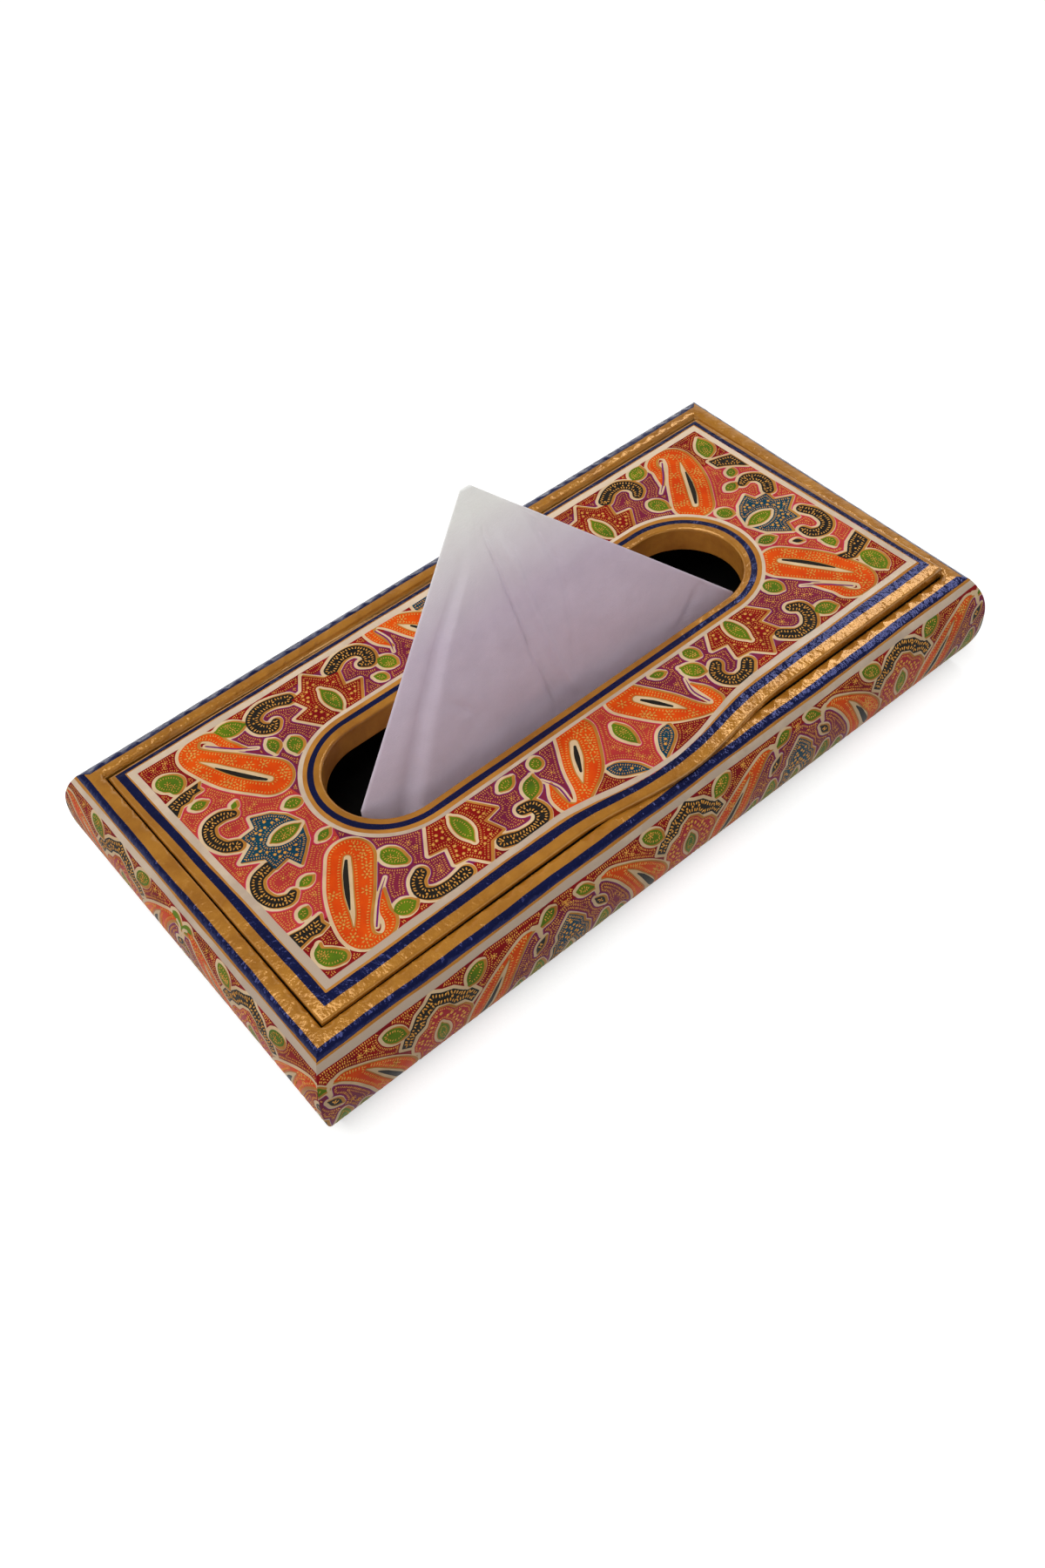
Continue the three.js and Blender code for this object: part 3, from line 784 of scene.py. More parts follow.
def paint_lid():
    dice = random.Random(LID_SEED)
    painting = Painting(*LID_PLAN)
    paint_motifs(painting, lid_motifs(dice), "purple_line")
    x, y = painting.x, painting.y
    forward = (LID_BACK - y) / (LID_BACK - LID_FRONT)
    limits = []
    for _, left_back, left_front, right, front, back, swell in LID_BANDS:
        swelled = tab_swell(x, swell, INNER_SWELL_MIDDLE)
        left = left_back + (left_front - left_back) * forward
        limits.append(np.maximum.reduce([
            -LID_HALF_LENGTH + left - x + wavy(y, dice, LID_WANDER),
            x - LID_HALF_LENGTH + right + wavy(y, dice, LID_WANDER),
            LID_FRONT + front - swelled - y + wavy(x, dice, LID_FRONT_WANDER),
            y - LID_BACK + back + wavy(x, dice, LID_WANDER),
        ]))
    colours = ["gold"] + [band[0] for band in LID_BANDS[:3]]
    for colour, inner, outer in zip(colours, limits, [None] + limits[:3]):
        painting.add(colour, -inner if outer is None else np.maximum(-inner, outer))
    from_slot = slot_distance(x, y)
    for colour, limit in SLOT_RINGS:
        painting.add(colour, from_slot - limit + wavy(x, dice, SLOT_WANDER)
                     + wavy(y, dice, SLOT_WANDER))
    return painting


# Meshes

# The distance between the loose points that keep the painted surfaces' triangles small
FILLER_PITCH = 6.0
# Where such points lie on the lid's top and underside, and how far off the slot they stay
TOP_COLUMNS = np.arange(-117, 118, FILLER_PITCH)
TOP_ROWS = np.arange(-54, 54, FILLER_PITCH)
TOP_ROOM = 3
UNDER_COLUMNS = np.arange(-114, 115, 12.0)
UNDER_ROWS = np.arange(-50, 51, 10.0)
UNDER_ROOM = 4
# More rows of them lie along the worn edges, at these shares of the wear's reach
WORN_SHARES = (0.25, 0.5, 0.75)
FRONT_WORN_SHIFT = 0.4
BACK_WORN_SHIFT = 0.8
# The lid's triangles are kept to a hair inside the slot's rounded edge
SLOT_KEEP = 0.98
# Stations along the lid's edges, round each end of its slot and along the slot's sides
FRONT_STATIONS = 84
BACK_STATIONS = 40
END_STATIONS = 30
SLOT_ARC_STATIONS = 48
SLOT_SIDE_STATIONS = 32


def add_mesh(name, points, faces, materials, face_materials, body, normals=None):
    mesh = bpy.data.meshes.new(name)
    mesh.from_pydata((np.asarray(points) / METRE).tolist(), [], faces)
    names = []
    for material in face_materials:
        if material not in names:
            names.append(material)
    for material in names:
        mesh.materials.append(materials[material])
    numbers = {material: i for i, material in enumerate(names)}
    mesh.polygons.foreach_set("material_index", [numbers[m] for m in face_materials])
    mesh.polygons.foreach_set("use_smooth", [True] * len(mesh.polygons))
    mesh.validate(clean_customdata=False)
    if normals is not None:
        mesh.normals_split_custom_set_from_vertices(np.asarray(normals).tolist())
    thing = bpy.data.objects.new(name, mesh)
    bpy.context.scene.collection.objects.link(thing)
    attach(thing, body)
    return thing


def triangulated(painting, loops, fillers, keeps):
    """Flat triangles of the painting: their corners, and each one's colour.

    The loops bound the painted area, the fillers are free points, and keeps(points) tells which
    triangles lie on it. The loops' own points come first.
    """
    points, edges = [], []
    for loop in loops:
        first = len(points)
        points += [tuple(p) for p in loop]
        edges += [(first + i, first + (i + 1) % len(loop)) for i in range(len(loop))]
    for line in painting.edges_to_cut():
        first = len(points)
        points += [tuple(p) for p in line]
        edges += [(first + i, first + i + 1) for i in range(len(line) - 1)]
    points += [tuple(p) for p in fillers]
    flat, _, triangles, origins, _, _ = delaunay_2d_cdt(
        [Vector(p) for p in points], edges, [], 0, 1e-4, True)
    flat = np.array([tuple(p) for p in flat])
    triangles = np.array(triangles)
    middles = flat[triangles].mean(axis=1)
    triangles = triangles[keeps(middles)]
    used = np.unique(triangles)
    renumber = np.full(len(flat), -1)
    renumber[used] = np.arange(len(used))
    first_of = {}
    for index, origin in enumerate(origins):
        for i in origin:
            first_of[i] = renumber[index]
    triangles = renumber[triangles]
    flat = flat[used]
    colours = painting.colour_at(flat[triangles].mean(axis=1))
    return flat, triangles, colours, first_of


def ring_of_lid():
    """The painted top's edge: x, y and how a side moves outward there."""
    low = -LID_HALF_LENGTH + LID_ROUND
    front = LID_FRONT + LID_ROUND
    back = LID_BACK - LID_ROUND
    ring = [(x, front - float(tab_swell(x)), 0, -1)
            for x in np.linspace(low, -low, FRONT_STATIONS)]
    ring += [(-low, y, 1, 0) for y in np.linspace(front, back, END_STATIONS)[1:]]
    ring += [(x, back, 0, 1) for x in np.linspace(-low, low, BACK_STATIONS)[1:]]
    ring += [(low, y, -1, 0) for y in np.linspace(back, front, END_STATIONS)[1:-1]]
    ring = np.array(ring)
    # The four corners move outward both ways
    for x, y in ((low, front), (-low, front), (-low, back), (low, back)):
        corner = np.hypot(ring[:, 0] - x, ring[:, 1] - y) < 1e-6
        ring[corner, 2:] = np.sign(x), np.sign(y)
    return ring


def slot_stations():
    """Round the slot: the middle of each place's arc, and the way from there to its edge."""
    stations = []
    for side in (1, -1):
        for angle in np.radians(np.linspace(-90, 90, SLOT_ARC_STATIONS)):
            stations.append((SLOT_CENTRE[0] + side * SLOT_STRAIGHT, side * math.cos(angle),
                             side * math.sin(angle)))
        for share in np.linspace(1, -1, SLOT_SIDE_STATIONS)[1:-1]:
            stations.append((SLOT_CENTRE[0] + side * share * SLOT_STRAIGHT, 0, side))
    return np.array(stations)


def slot_loop(stations, radius):
    return np.column_stack([stations[:, 0] + radius * stations[:, 1],
                            SLOT_CENTRE[1] + radius * stations[:, 2]])


ROUND_DEPTHS = [0.0, 0.08, 0.3, 0.6, 1.0]
# Below the tab's seat the front edge steps back, and the gold ends a little lower. The side is at
# least so high between its rounding and the seat.
SEAT_STEP = 0.03
LEAST_SIDE = 0.05
SEAT_GOLD = 0.5
SLOT_SIDE_DEPTHS = (3.0, 6.5)


def round_reach(depth, radius=LID_ROUND):
    inner = np.clip(radius - depth, 0, radius)
    return np.sqrt(radius**2 - inner**2)


class LidSkin:
    """The lid's growing surface: bands of faces that hang down from its painted top."""

    def __init__(self, painting, ring, stations):
        self.ring = ring
        self.stations = stations
        lip = slot_loop(stations, SLOT_RADIUS + LID_ROUND)
        fillers = [(x, y) for x in TOP_COLUMNS for y in TOP_ROWS
                   if slot_distance(x, y) > TOP_ROOM]
        for share in WORN_SHARES:
            front = LID_FRONT + FRONT_EASE_REACH * share + FRONT_WORN_SHIFT
            back = LID_BACK - EASE_REACH * share - BACK_WORN_SHIFT
            for x in TOP_COLUMNS:
                fillers += [(x, front - float(tab_swell(x))), (x, back)]
        flat, triangles, self.colours, self.first_of = triangulated(
            painting, [ring[:, :2], lip], fillers, self.keeps)
        self.points = [lid_place(flat[:, 0], flat[:, 1])]
        self.normals = [lid_normal(flat[:, 0], flat[:, 1])]
        self.faces = triangles.tolist()
        self.count = len(flat)

    def keeps(self, places):
        return ((slot_distance(places[:, 0], places[:, 1]) > LID_ROUND * SLOT_KEEP)
                & (polygon_distance(places[:, 0], places[:, 1], self.ring[:, :2]) < 0))

    def band(self, upper, points, normals, colour, inward=False):
        """Faces from the upper row of points down to a new one."""
        lower = list(range(self.count, self.count + len(points)))
        self.points.append(points)
        self.normals.append(normals)
        for i in range(len(upper)):
            j = (i + 1) % len(upper)
            face = (upper[i], lower[i], lower[j], upper[j])
            self.faces.append(face[::-1] if inward else face)
            self.colours.append(colour)
        self.count += len(points)
        return lower

    def outside(self):
        x, y, out_x, out_y = self.ring.T
        lift, ease = lid_lift(x, y), lid_ease(x, y)
        seat = np.maximum(BOX_HEIGHT + lift - TAB_SEAT, LID_ROUND + ease + LEAST_SIDE)
        foot = LID_THICKNESS - np.array(ROUND_DEPTHS[::-1])
        levels = [(ease + depth, round_reach(depth), 1, "gold") for depth in ROUND_DEPTHS[1:]]
        levels += [(seat, LID_ROUND, 1, "gold"), (seat + SEAT_STEP, LID_ROUND, 0, "gold"),
                   (seat + SEAT_GOLD, LID_ROUND, 0, "gold")]
        levels += [(depth + 0 * x, round_reach(LID_THICKNESS - depth), 0, "board")
                   for depth in foot]
        swell = np.where(out_y < 0, tab_swell(x), 0)
        step = 0.1
        slope = np.where(out_y < 0, (tab_swell(x - step) - tab_swell(x + step)) / (2 * step), 0)
        row = [self.first_of[i] for i in range(len(x))]
        for depth, side, has_tab, colour in levels:
            tilt = side / LID_ROUND
            up = math.sqrt(1 - tilt**2) * (1 if has_tab else -1)
            normals = np.column_stack([(out_x + slope * has_tab) * tilt, out_y * tilt, up + 0 * x])
            normals /= np.linalg.norm(normals, axis=1, keepdims=True)
            points = np.column_stack([x + side * out_x,
                                      y + side * out_y + (0 if has_tab else 1) * swell,
                                      BOX_HEIGHT + lift - depth])
            row = self.band(row, points, normals, colour)
        return row

    def slot_sides(self):
        first = len(self.ring)
        row = [self.first_of[first + i] for i in range(len(self.stations))]
        levels = [(d, round_reach(d), "gold") for d in ROUND_DEPTHS[1:]]
        levels += [(d, LID_ROUND, "slot_gold") for d in SLOT_SIDE_DEPTHS]
        levels += [(LID_THICKNESS - d, round_reach(d), "slot_gold") for d in ROUND_DEPTHS[::-1]]
        for depth, side, colour in levels:
            loop = slot_loop(self.stations, SLOT_RADIUS + LID_ROUND - side)
            height = BOX_HEIGHT - depth + lid_lift(loop[:, 0], loop[:, 1])
            tilt = side / LID_ROUND
            up = math.sqrt(max(0, 1 - tilt**2)) * (1 if depth < LID_THICKNESS / 2 else -1)
            normals = np.column_stack([-self.stations[:, 1:] * tilt, np.full(len(loop), up)])
            row = self.band(row, np.column_stack([loop, height]), normals, colour, inward=True)
        return row

    def underside(self, outer, inner):
        everything = np.vstack(self.points)
        bare = Painting(*LID_PLAN)
        bare.add("board", np.full(1, -FAR))
        fillers = [(x, y) for x in UNDER_COLUMNS for y in UNDER_ROWS
                   if slot_distance(x, y) > UNDER_ROOM]
        flat, triangles, colours, first_of = triangulated(
            bare, [everything[outer][:, :2], everything[inner][:, :2]], fillers, self.keeps)
        ids = np.arange(self.count, self.count + len(flat))
        for i, shared in enumerate(outer + inner):
            ids[first_of[i]] = shared
        self.points.append(np.column_stack([
            flat, BOX_HEIGHT - LID_THICKNESS + lid_lift(flat[:, 0], flat[:, 1])]))
        self.normals.append(np.zeros((len(flat), 3)) - [0, 0, 1])
        self.faces += ids[triangles][:, ::-1].tolist()
        self.colours += colours


def make_lid(materials):
    painting = paint_lid()
    skin = LidSkin(painting, ring_of_lid(), slot_stations())
    skin.underside(skin.outside(), skin.slot_sides())
    lid = add_mesh("lid_painted", np.vstack(skin.points), skin.faces, materials, skin.colours,
                   "lid", np.vstack(skin.normals))
    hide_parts("lid_panel")
    return painting


# The walls

# Points of a wall's section on the worn top and the belly, and steps of its three round edges
WORN_POINTS = 10
BELLY_POINTS = 29
INNER_STEPS = 3
TURN_STEPS = 6
FOOT_STEPS = 4


def belly(z):
    return BELLY_REACH * (1 - np.abs(2 * z / BOX_HEIGHT - 1) ** BELLY_FULLNESS)


def bent(start, corner, end, steps):
    """A quadratic curve, without its first point."""
    t = np.linspace(0, 1, steps + 1)[1:, None]
    start, corner, end = (np.array(p, float) for p in (start, corner, end))
    return (1 - t)**2 * start + 2 * t * (1 - t) * corner + t**2 * end


def wall_profile():
    """The painted part of a wall's section, (outward, up), from the rim's inner edge to the foot."""
    top = BOX_HEIGHT - RIM_ROUND
    worn = np.linspace(-RIM_DROP_REACH, -RIM_ROUND, WORN_POINTS)
    drop = RIM_DROP * (1 + worn / RIM_DROP_REACH) ** 2
    turn = BOX_HEIGHT - drop[-1]
    parts = [np.array([[-RIM_THICKNESS, BOX_HEIGHT - RIM_EASE]]),
             bent((-RIM_THICKNESS, BOX_HEIGHT - RIM_EASE), (-RIM_THICKNESS, BOX_HEIGHT),
                  (-RIM_THICKNESS + RIM_EASE, BOX_HEIGHT), INNER_STEPS),
             np.column_stack([worn, BOX_HEIGHT - drop]),
             bent((-RIM_ROUND, turn), (0, turn), (belly(top), top), TURN_STEPS)]
    heights = np.linspace(top, FOOT_ROUND, BELLY_POINTS)[1:]
    parts.append(np.column_stack([belly(heights), heights]))
    parts.append(bent((belly(FOOT_ROUND), FOOT_ROUND), (0, 0), (-FOOT_ROUND, 0), FOOT_STEPS))
    return np.vstack(parts)


PROFILE = wall_profile()
PROFILE_RUN = np.concatenate([[0], np.cumsum(np.hypot(*np.diff(PROFILE, axis=0).T))])
# The run at which the section comes to the rim's outer edge: the paintings' zero height
RIM_TURN = PROFILE_RUN[PROFILE[:, 0] > 0][0]
# The foot lies halfway round its edge
FOOT_TURN = PROFILE_RUN[-1 - FOOT_STEPS // 2] - RIM_TURN
NORMAL_STEP = 0.4


def profile_at(height):
    """Outward and up, and the outward normal, at a height on the unrolled wall."""
    def at(place):
        return [np.interp(place, PROFILE_RUN, part) for part in PROFILE.T]

    run = RIM_TURN - np.asarray(height, float)
    outward, up = at(run)
    ahead = at(np.clip(run + NORMAL_STEP, 0, PROFILE_RUN[-1]))
    behind = at(np.clip(run - NORMAL_STEP, 0, None))
    along_out, along_up = (a - b for a, b in zip(ahead, behind))
    size = np.maximum(np.hypot(along_out, along_up), 1e-9)
    return outward, up, -along_up / size, along_out / size


class Wall:
    """One wall, painted on its unrolled face: x along it, y up from the rim's outer edge."""

    def __init__(self, node_name, length, distance, turn):
        self.node = node_name
        self.length = length
        self.distance = distance
        self.turn = turn

    def turned(self, points):
        cos, sin = math.cos(self.turn), math.sin(self.turn)
        return np.column_stack([points[:, 0] * cos - points[:, 1] * sin,
                                points[:, 0] * sin + points[:, 1] * cos, points[:, 2]])

    def place(self, x, y, up=0.0):
        outward, height, out_x, out_z = profile_at(y)
        return self.turned(np.column_stack([
            x, -self.distance - outward - out_x * up, height + out_z * up]))

    def normal(self, x, y):
        _, _, out_x, out_z = profile_at(y)
        return self.turned(np.column_stack([0 * x, -out_x, out_z]))

    def half_length(self, y):
        return self.length / 2 + profile_at(y)[0]


# How far a wall's picture runs on past its ends and past its rim's inner edge
END_MARGIN = 2
INNER_MARGIN = 1
# Lower limit of each band on a wall, from the rim's outer edge, and the same up from the foot.
# The gold on the rim differs from wall to wall.
WALL_BANDS = [("border_cream", -4.4), ("gold_line", -1.9), ("navy", -1.1)]
FOOT_BANDS = [("border_cream", 3.6), ("gold_line", 2.0), ("navy", 1.4)]


def paint_wall(wall, pattern, gold_limit, seed, slope):
    """The wall's picture. Its bands and its pattern rise by slope from one end to the other."""
    dice = random.Random(seed)
    reach = wall.length / 2 + BELLY_REACH + END_MARGIN
    painting = Painting((-reach, -PROFILE_RUN[-1]), (reach, RIM_TURN + INNER_MARGIN))
    rise = PATTERN_RISE * slope / wall.length
    paint_motifs(painting, wall_motifs(*pattern, rise, dice), "cream")
    x, y = painting.x, painting.y
    tilt = slope * x / wall.length
    for colour, limit in WALL_BANDS + [("gold", gold_limit)]:
        painting.add(colour, limit + tilt + wavy(x, dice, WALL_WANDER) - y)
    for colour, limit in FOOT_BANDS:
        painting.add(colour, y + FOOT_TURN - limit + wavy(x, dice, WALL_WANDER))
    return painting


def make_wall(wall, painting, materials):
    rows = RIM_TURN - PROFILE_RUN[::-1]
    ends = [(wall.half_length(y), y) for y in rows]
    loop = [(-x, y) for x, y in ends[::-1]] + ends
    top_row, foot_row = rows[-1], rows[0]
    fillers = []
    for y in rows:
        reach = float(wall.half_length(y))
        fillers += [(x, y) for x in np.linspace(-reach, reach, int(wall.length / FILLER_PITCH))[1:-1]]

    def keeps(places):
        inner = wall.half_length(places[:, 1]) - np.abs(places[:, 0])
        return (inner > 0) & (places[:, 1] < top_row) & (places[:, 1] > foot_row)

    flat, triangles, colours, _ = triangulated(painting, [loop], fillers, keeps)
    x, y = flat.T
    points = wall.place(x, y)
    normals = wall.normal(x, y)
    count = len(flat)
    # The plain faces behind the painted one: the inner face and the rebate for the base board
    hidden = [(-RIM_THICKNESS, BOX_HEIGHT - BARE_INNER), (-RIM_THICKNESS, REBATE_TOP),
              (-RIM_THICKNESS + REBATE_DEPTH, REBATE_TOP), (-RIM_THICKNESS + REBATE_DEPTH, 0)]
    corners = [(side * (wall.length / 2 + outward), -wall.distance - outward, up)
               for side in (-1, 1) for outward, up in hidden]
    points = np.vstack([points, wall.turned(np.array(corners))])
    normals = np.vstack([normals, np.zeros((len(corners), 3))])
    left = list(range(count, count + len(hidden)))
    right = [i + len(hidden) for i in left]

    def row_of(level):
        found = np.nonzero(np.abs(y - level) < 1e-4)[0]
        return found[np.argsort(x[found])].tolist()

    def end_of(side):
        found = np.nonzero(np.abs(side * x - wall.half_length(y)) < 1e-3)[0]
        return found[np.argsort(-y[found])].tolist()

    top, foot = row_of(top_row), row_of(foot_row)
    faces = triangles.tolist()
    faces.append(top + [right[0], left[0]])
    faces += [(left[i], right[i], right[i + 1], left[i + 1])[::-1] for i in range(3)]
    faces.append(foot[::-1] + [left[3], right[3]])
    faces.append(end_of(-1) + left[::-1])
    faces.append(end_of(1)[::-1] + right)
    colours = colours + ["gold"] + ["board"] * 6
    made = add_mesh(wall.node + "_painted", points, faces, materials, colours, "box", normals)
    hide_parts(wall.node)


# Fine gold brush marks, each a low closed pyramid on the paint

# How much of a stroke's and a dot's length is full, and how wide a dot is by its length
STROKE_FULLNESS = 0.55
DOT_FULLNESS = 0.5
DOT_WIDTH = 0.87
# A star's rays start this share of its dot's size from its middle
RAY_START = 0.4
RAYS = 6
# How far marks stray, as a share of their pitch, in a row and in a grid
ROW_STRAY = 0.12
GRID_STRAY = 0.2
# How much shorter or longer than meant a stroke and a dot may be
STROKE_LENGTHS = (0.8, 1.15)
DOT_LENGTHS = (0.85, 1.15)
# The least length of a row, in pitches, and how far apart a grid's rows are by its pitch
LEAST_ROW = 2
GRID_ROWS = 0.87


class Marks:
    """Collects six-cornered brush marks on one painting, in its flat millimetres."""

    def __init__(self, painting, dice, half_length=None):
        self.painting = painting
        self.half_length = half_length
        self.dice = dice
        self.shapes = []

    def add(self, x, y, angle, length, width, waist):
        """A mark whose ends are points, and which is full for the share waist of its length."""
        if self.half_length and abs(x) > self.half_length(y) - MARK_ROOM:
            return
        cos, sin = math.cos(angle), math.sin(angle)
        u, v = length / 2, width / 2
        corners = [(u, 0), (u * waist, v), (-u * waist, v), (-u, 0), (-u * waist, -v),
                   (u * waist, -v)]
        self.shapes.append([(x + a * cos - b * sin, y + a * sin + b * cos) for a, b in corners])

    def stroke(self, x, y, angle, length, width):
        self.add(x, y, angle, length * self.dice.uniform(*STROKE_LENGTHS), width,
                 STROKE_FULLNESS)

    def dot(self, x, y, across):
        self.add(x, y, self.dice.uniform(0, math.pi), across * self.dice.uniform(*DOT_LENGTHS),
                 across * DOT_WIDTH, DOT_FULLNESS)

    def dots(self, room, depth, pitch, across):
        for x, y in self.places(room, depth, pitch):
            self.dot(x, y, across)

    def stars(self, room, depth, pitch, core, reach, width):
        """Dots with short rays round each."""
        middle = (core * RAY_START + reach) / 2
        for x, y in self.places(room, depth, pitch):
            self.dot(x, y, core)
            first = self.dice.uniform(0, math.pi)
            for i in range(RAYS):
                angle = first + i * 2 * math.pi / RAYS
                self.stroke(x + middle * math.cos(angle), y + middle * math.sin(angle), angle,
                            reach - core * RAY_START, width)

    def hatch(self, room, depth, pitch, length, width, lean):
        """A row of strokes square to the edge of an area, their middles depth inside it."""
        slope_y, slope_x = np.gradient(room)
        for line, _ in self.painting.lines(room, depth):
            steps = np.hypot(*np.diff(line, axis=0).T)
            run = np.concatenate([[0], np.cumsum(steps)])
            if run[-1] < pitch * LEAST_ROW:
                continue
            stations = np.arange(pitch / 2, run[-1], pitch)
            stations += np.array([self.dice.uniform(-ROW_STRAY, ROW_STRAY) * pitch
                                  for _ in stations])
            places = np.column_stack([np.interp(stations, run, line[:, i]) for i in (0, 1)])
            across = self.painting.at(slope_x, places)
            up = self.painting.at(slope_y, places)
            for (x, y), angle in zip(places, np.arctan2(up, across)):
                self.stroke(x, y, angle + self.dice.uniform(-lean, lean), length, width)

    def places(self, room, depth, pitch):
        """Loosely gridded places at least depth inside an area."""
        columns = np.arange(self.painting.x.min(), self.painting.x.max(), pitch)
        rows = np.arange(self.painting.y.min(), self.painting.y.max(), pitch * GRID_ROWS)
        grid = np.array([(x + (i % 2) * pitch / 2, y) for i, y in enumerate(rows)
                         for x in columns])
        grid += np.array([(self.dice.uniform(-GRID_STRAY, GRID_STRAY) * pitch,
                           self.dice.uniform(-GRID_STRAY, GRID_STRAY) * pitch) for _ in grid])
        return grid[self.painting.at(room, grid) > depth]

    def mesh(self, place):
        flat = np.array(self.shapes)
        count, sides, _ = flat.shape
        rim = place(flat[..., 0].ravel(), flat[..., 1].ravel(), -MARK_HEIGHT / 4)
        middle = flat.mean(axis=1)
        tips = place(middle[:, 0], middle[:, 1], MARK_HEIGHT)
        points = np.concatenate([rim.reshape(count, sides, 3), tips[:, None]], axis=1)
        first = np.arange(count) * (sides + 1)
        faces = [np.column_stack([first + i, first + (i + 1) % sides, first + sides])
                 for i in range(sides)]
        faces += [np.column_stack([first, first + i + 1, first + i]) for i in range(1, sides - 1)]
        return points.reshape(-1, 3), np.vstack(faces)


# The gold work in the order in which it is laid: an area's colours, the kind of mark, its depth in
# the area and its pitch. Then come a hatch's length, width and lean, a dot's size, or a star's
# dot, reach and ray width.
GROUND = ("crimson", "purple", "coral_ground")
GOLD_WORK = [((colour,), "hatch", 0.7, 0.68, 0.9, 0.34, 0.25) for colour in GROUND] + [
    (GROUND, "hatch", 1.6, 0.75, 0.65, 0.34, 0.7),
    (GROUND, "stars", 2.0, 2.3, 1.0, 1.15, 0.34),
    (("coral",), "hatch", 0.65, 0.68, 0.85, 0.34, 0.25),
    (("coral",), "dots", 1.3, 1.7, 1.3),
    (("orange",), "hatch", 0.7, 0.95, 1.15, 0.46, 0.3),
    (("orange",), "stars", 1.7, 2.9, 1.25, 1.9, 0.6),
    (("red",), "hatch", 0.75, 0.72, 1.05, 0.38, 0.15),
    (("red",), "dots", 1.6, 1.9, 1.4),
    (("red",), "hatch", 1.75, 0.8, 0.6, 0.32, 0.8),
    (("teal",), "hatch", 0.75, 0.72, 1.05, 0.38, 0.15),
    (("teal",), "dots", 1.6, 1.9, 1.4),
    (("teal",), "hatch", 1.75, 0.8, 0.6, 0.32, 0.8),
    (("black",), "hatch", 1.0, 0.98, 1.4, 0.5, 0.5),
    (("black",), "dots", 1.7, 1.8, 1.0),
    (("green",), "hatch", 0.95, 0.8, 0.9, 0.32, 0.4),
    (("green",), "stars", 1.6, 2.4, 0.8, 1.3, 0.32),
]


def gold_marks(name, painting, place, materials, body, seed, half_length=None):
    """One piece with all the gold work of a painting."""
    marks = Marks(painting, random.Random(seed), half_length)
    kinds = {"hatch": marks.hatch, "dots": marks.dots, "stars": marks.stars}
    for colours, kind, *sizes in GOLD_WORK:
        kinds[kind](painting.room(*colours), *sizes)
    points, faces = marks.mesh(place)
    made = add_mesh(name, points, faces.tolist(), materials, ["gold_mark"] * len(faces), body)


# The walls' patterns: the middles of their groups and of their hooded flowers, and the share of
# their full spread that the side motifs have
LONG_PATTERN = ((-GROUP_PITCH, 0.6, GROUP_PITCH),
                (-1.5 * GROUP_PITCH, -GROUP_PITCH / 2, GROUP_PITCH / 2, 1.5 * GROUP_PITCH), 1)
SHORT_PATTERN = ((-34.5, 34.5), (), 0.93)
# Each wall's length, its rim's distance from the middle, turn, pattern, lower limit of the gold on
# its rim, random seed and slope
WALLS = {
    "wall_front": (RIM_LENGTH, RIM_WIDTH / 2, 0, LONG_PATTERN, 1.8, 21, 1.4),
    "wall_right": (RIM_WIDTH, RIM_LENGTH / 2, math.pi / 2, SHORT_PATTERN, 0.8, 22, 0),
    "wall_back": (RIM_LENGTH, RIM_WIDTH / 2, math.pi, LONG_PATTERN, 2.5, 23, 0),
    "wall_left": (RIM_WIDTH, RIM_LENGTH / 2, -math.pi / 2, SHORT_PATTERN, 1.2, 24, 0),
}


def make_walls(materials):
    for name, (length, distance, turn, pattern, gold_limit, seed, slope) in WALLS.items():
        wall = Wall(name, length, distance, turn)
        painting = paint_wall(wall, pattern, gold_limit, seed, slope)
        make_wall(wall, painting, materials)
        gold_marks(name + "_gold_work", painting, wall.place, materials, "box",
                   seed + 10, wall.half_length)


# The tissue, a square sheet whose corner stands in the slot

def tissue_row(rise):
    """Plan places that a row runs through: its left edge, the ridge, and its right edge."""
    front = SLOT_CENTRE[1] - SLOT_RADIUS + STAND_BEHIND_LIP
    share = rise / PEAK_HEIGHT
    peak = (SLOT_CENTRE[0] + PEAK_SHIFT, front + PEAK_LEAN)
    feet = [(SLOT_LEFT + LEFT_FOOT_ROOM, front + LEFT_FOOT_BACK, -PEAK_WIDTH / 2, max(0, share)),
            (SLOT_LEFT + RIDGE_ROOM, front, 0, share),
            (SLOT_RIGHT - RIGHT_FOOT_ROOM, front, PEAK_WIDTH / 2, max(-RIGHT_FOOT_RUN, share))]
    return [np.array([x + (peak[0] + beside - x) * part, y + (peak[1] - y) * part])
            for x, y, beside, part in feet]


def swelling(x, rise, line, height, width):
    """A soft raised line, or a sunk one where the height is negative."""
    line = np.array(line[::-1], float)
    beside = x - np.interp(rise, line[:, 1], line[:, 0])
    ends = np.minimum(rise - line[0, 1], line[-1, 1] - rise)
    fade = np.clip(ends / CREASE_FADE + 0.5, 0, 1)
    return height * fade * np.exp(-(beside / width) ** 2)


def panel_relief(x, rise):
    """How far the main panel stands proud of its plain form, towards the front."""
    relief = sum(swelling(x, rise, *crease) for crease in CREASES)
    for height, *pair in WAVES:
        first, second = (np.sin(x / across + rise / up + start) for across, up, start in pair)
        relief += height * first * second
    return relief


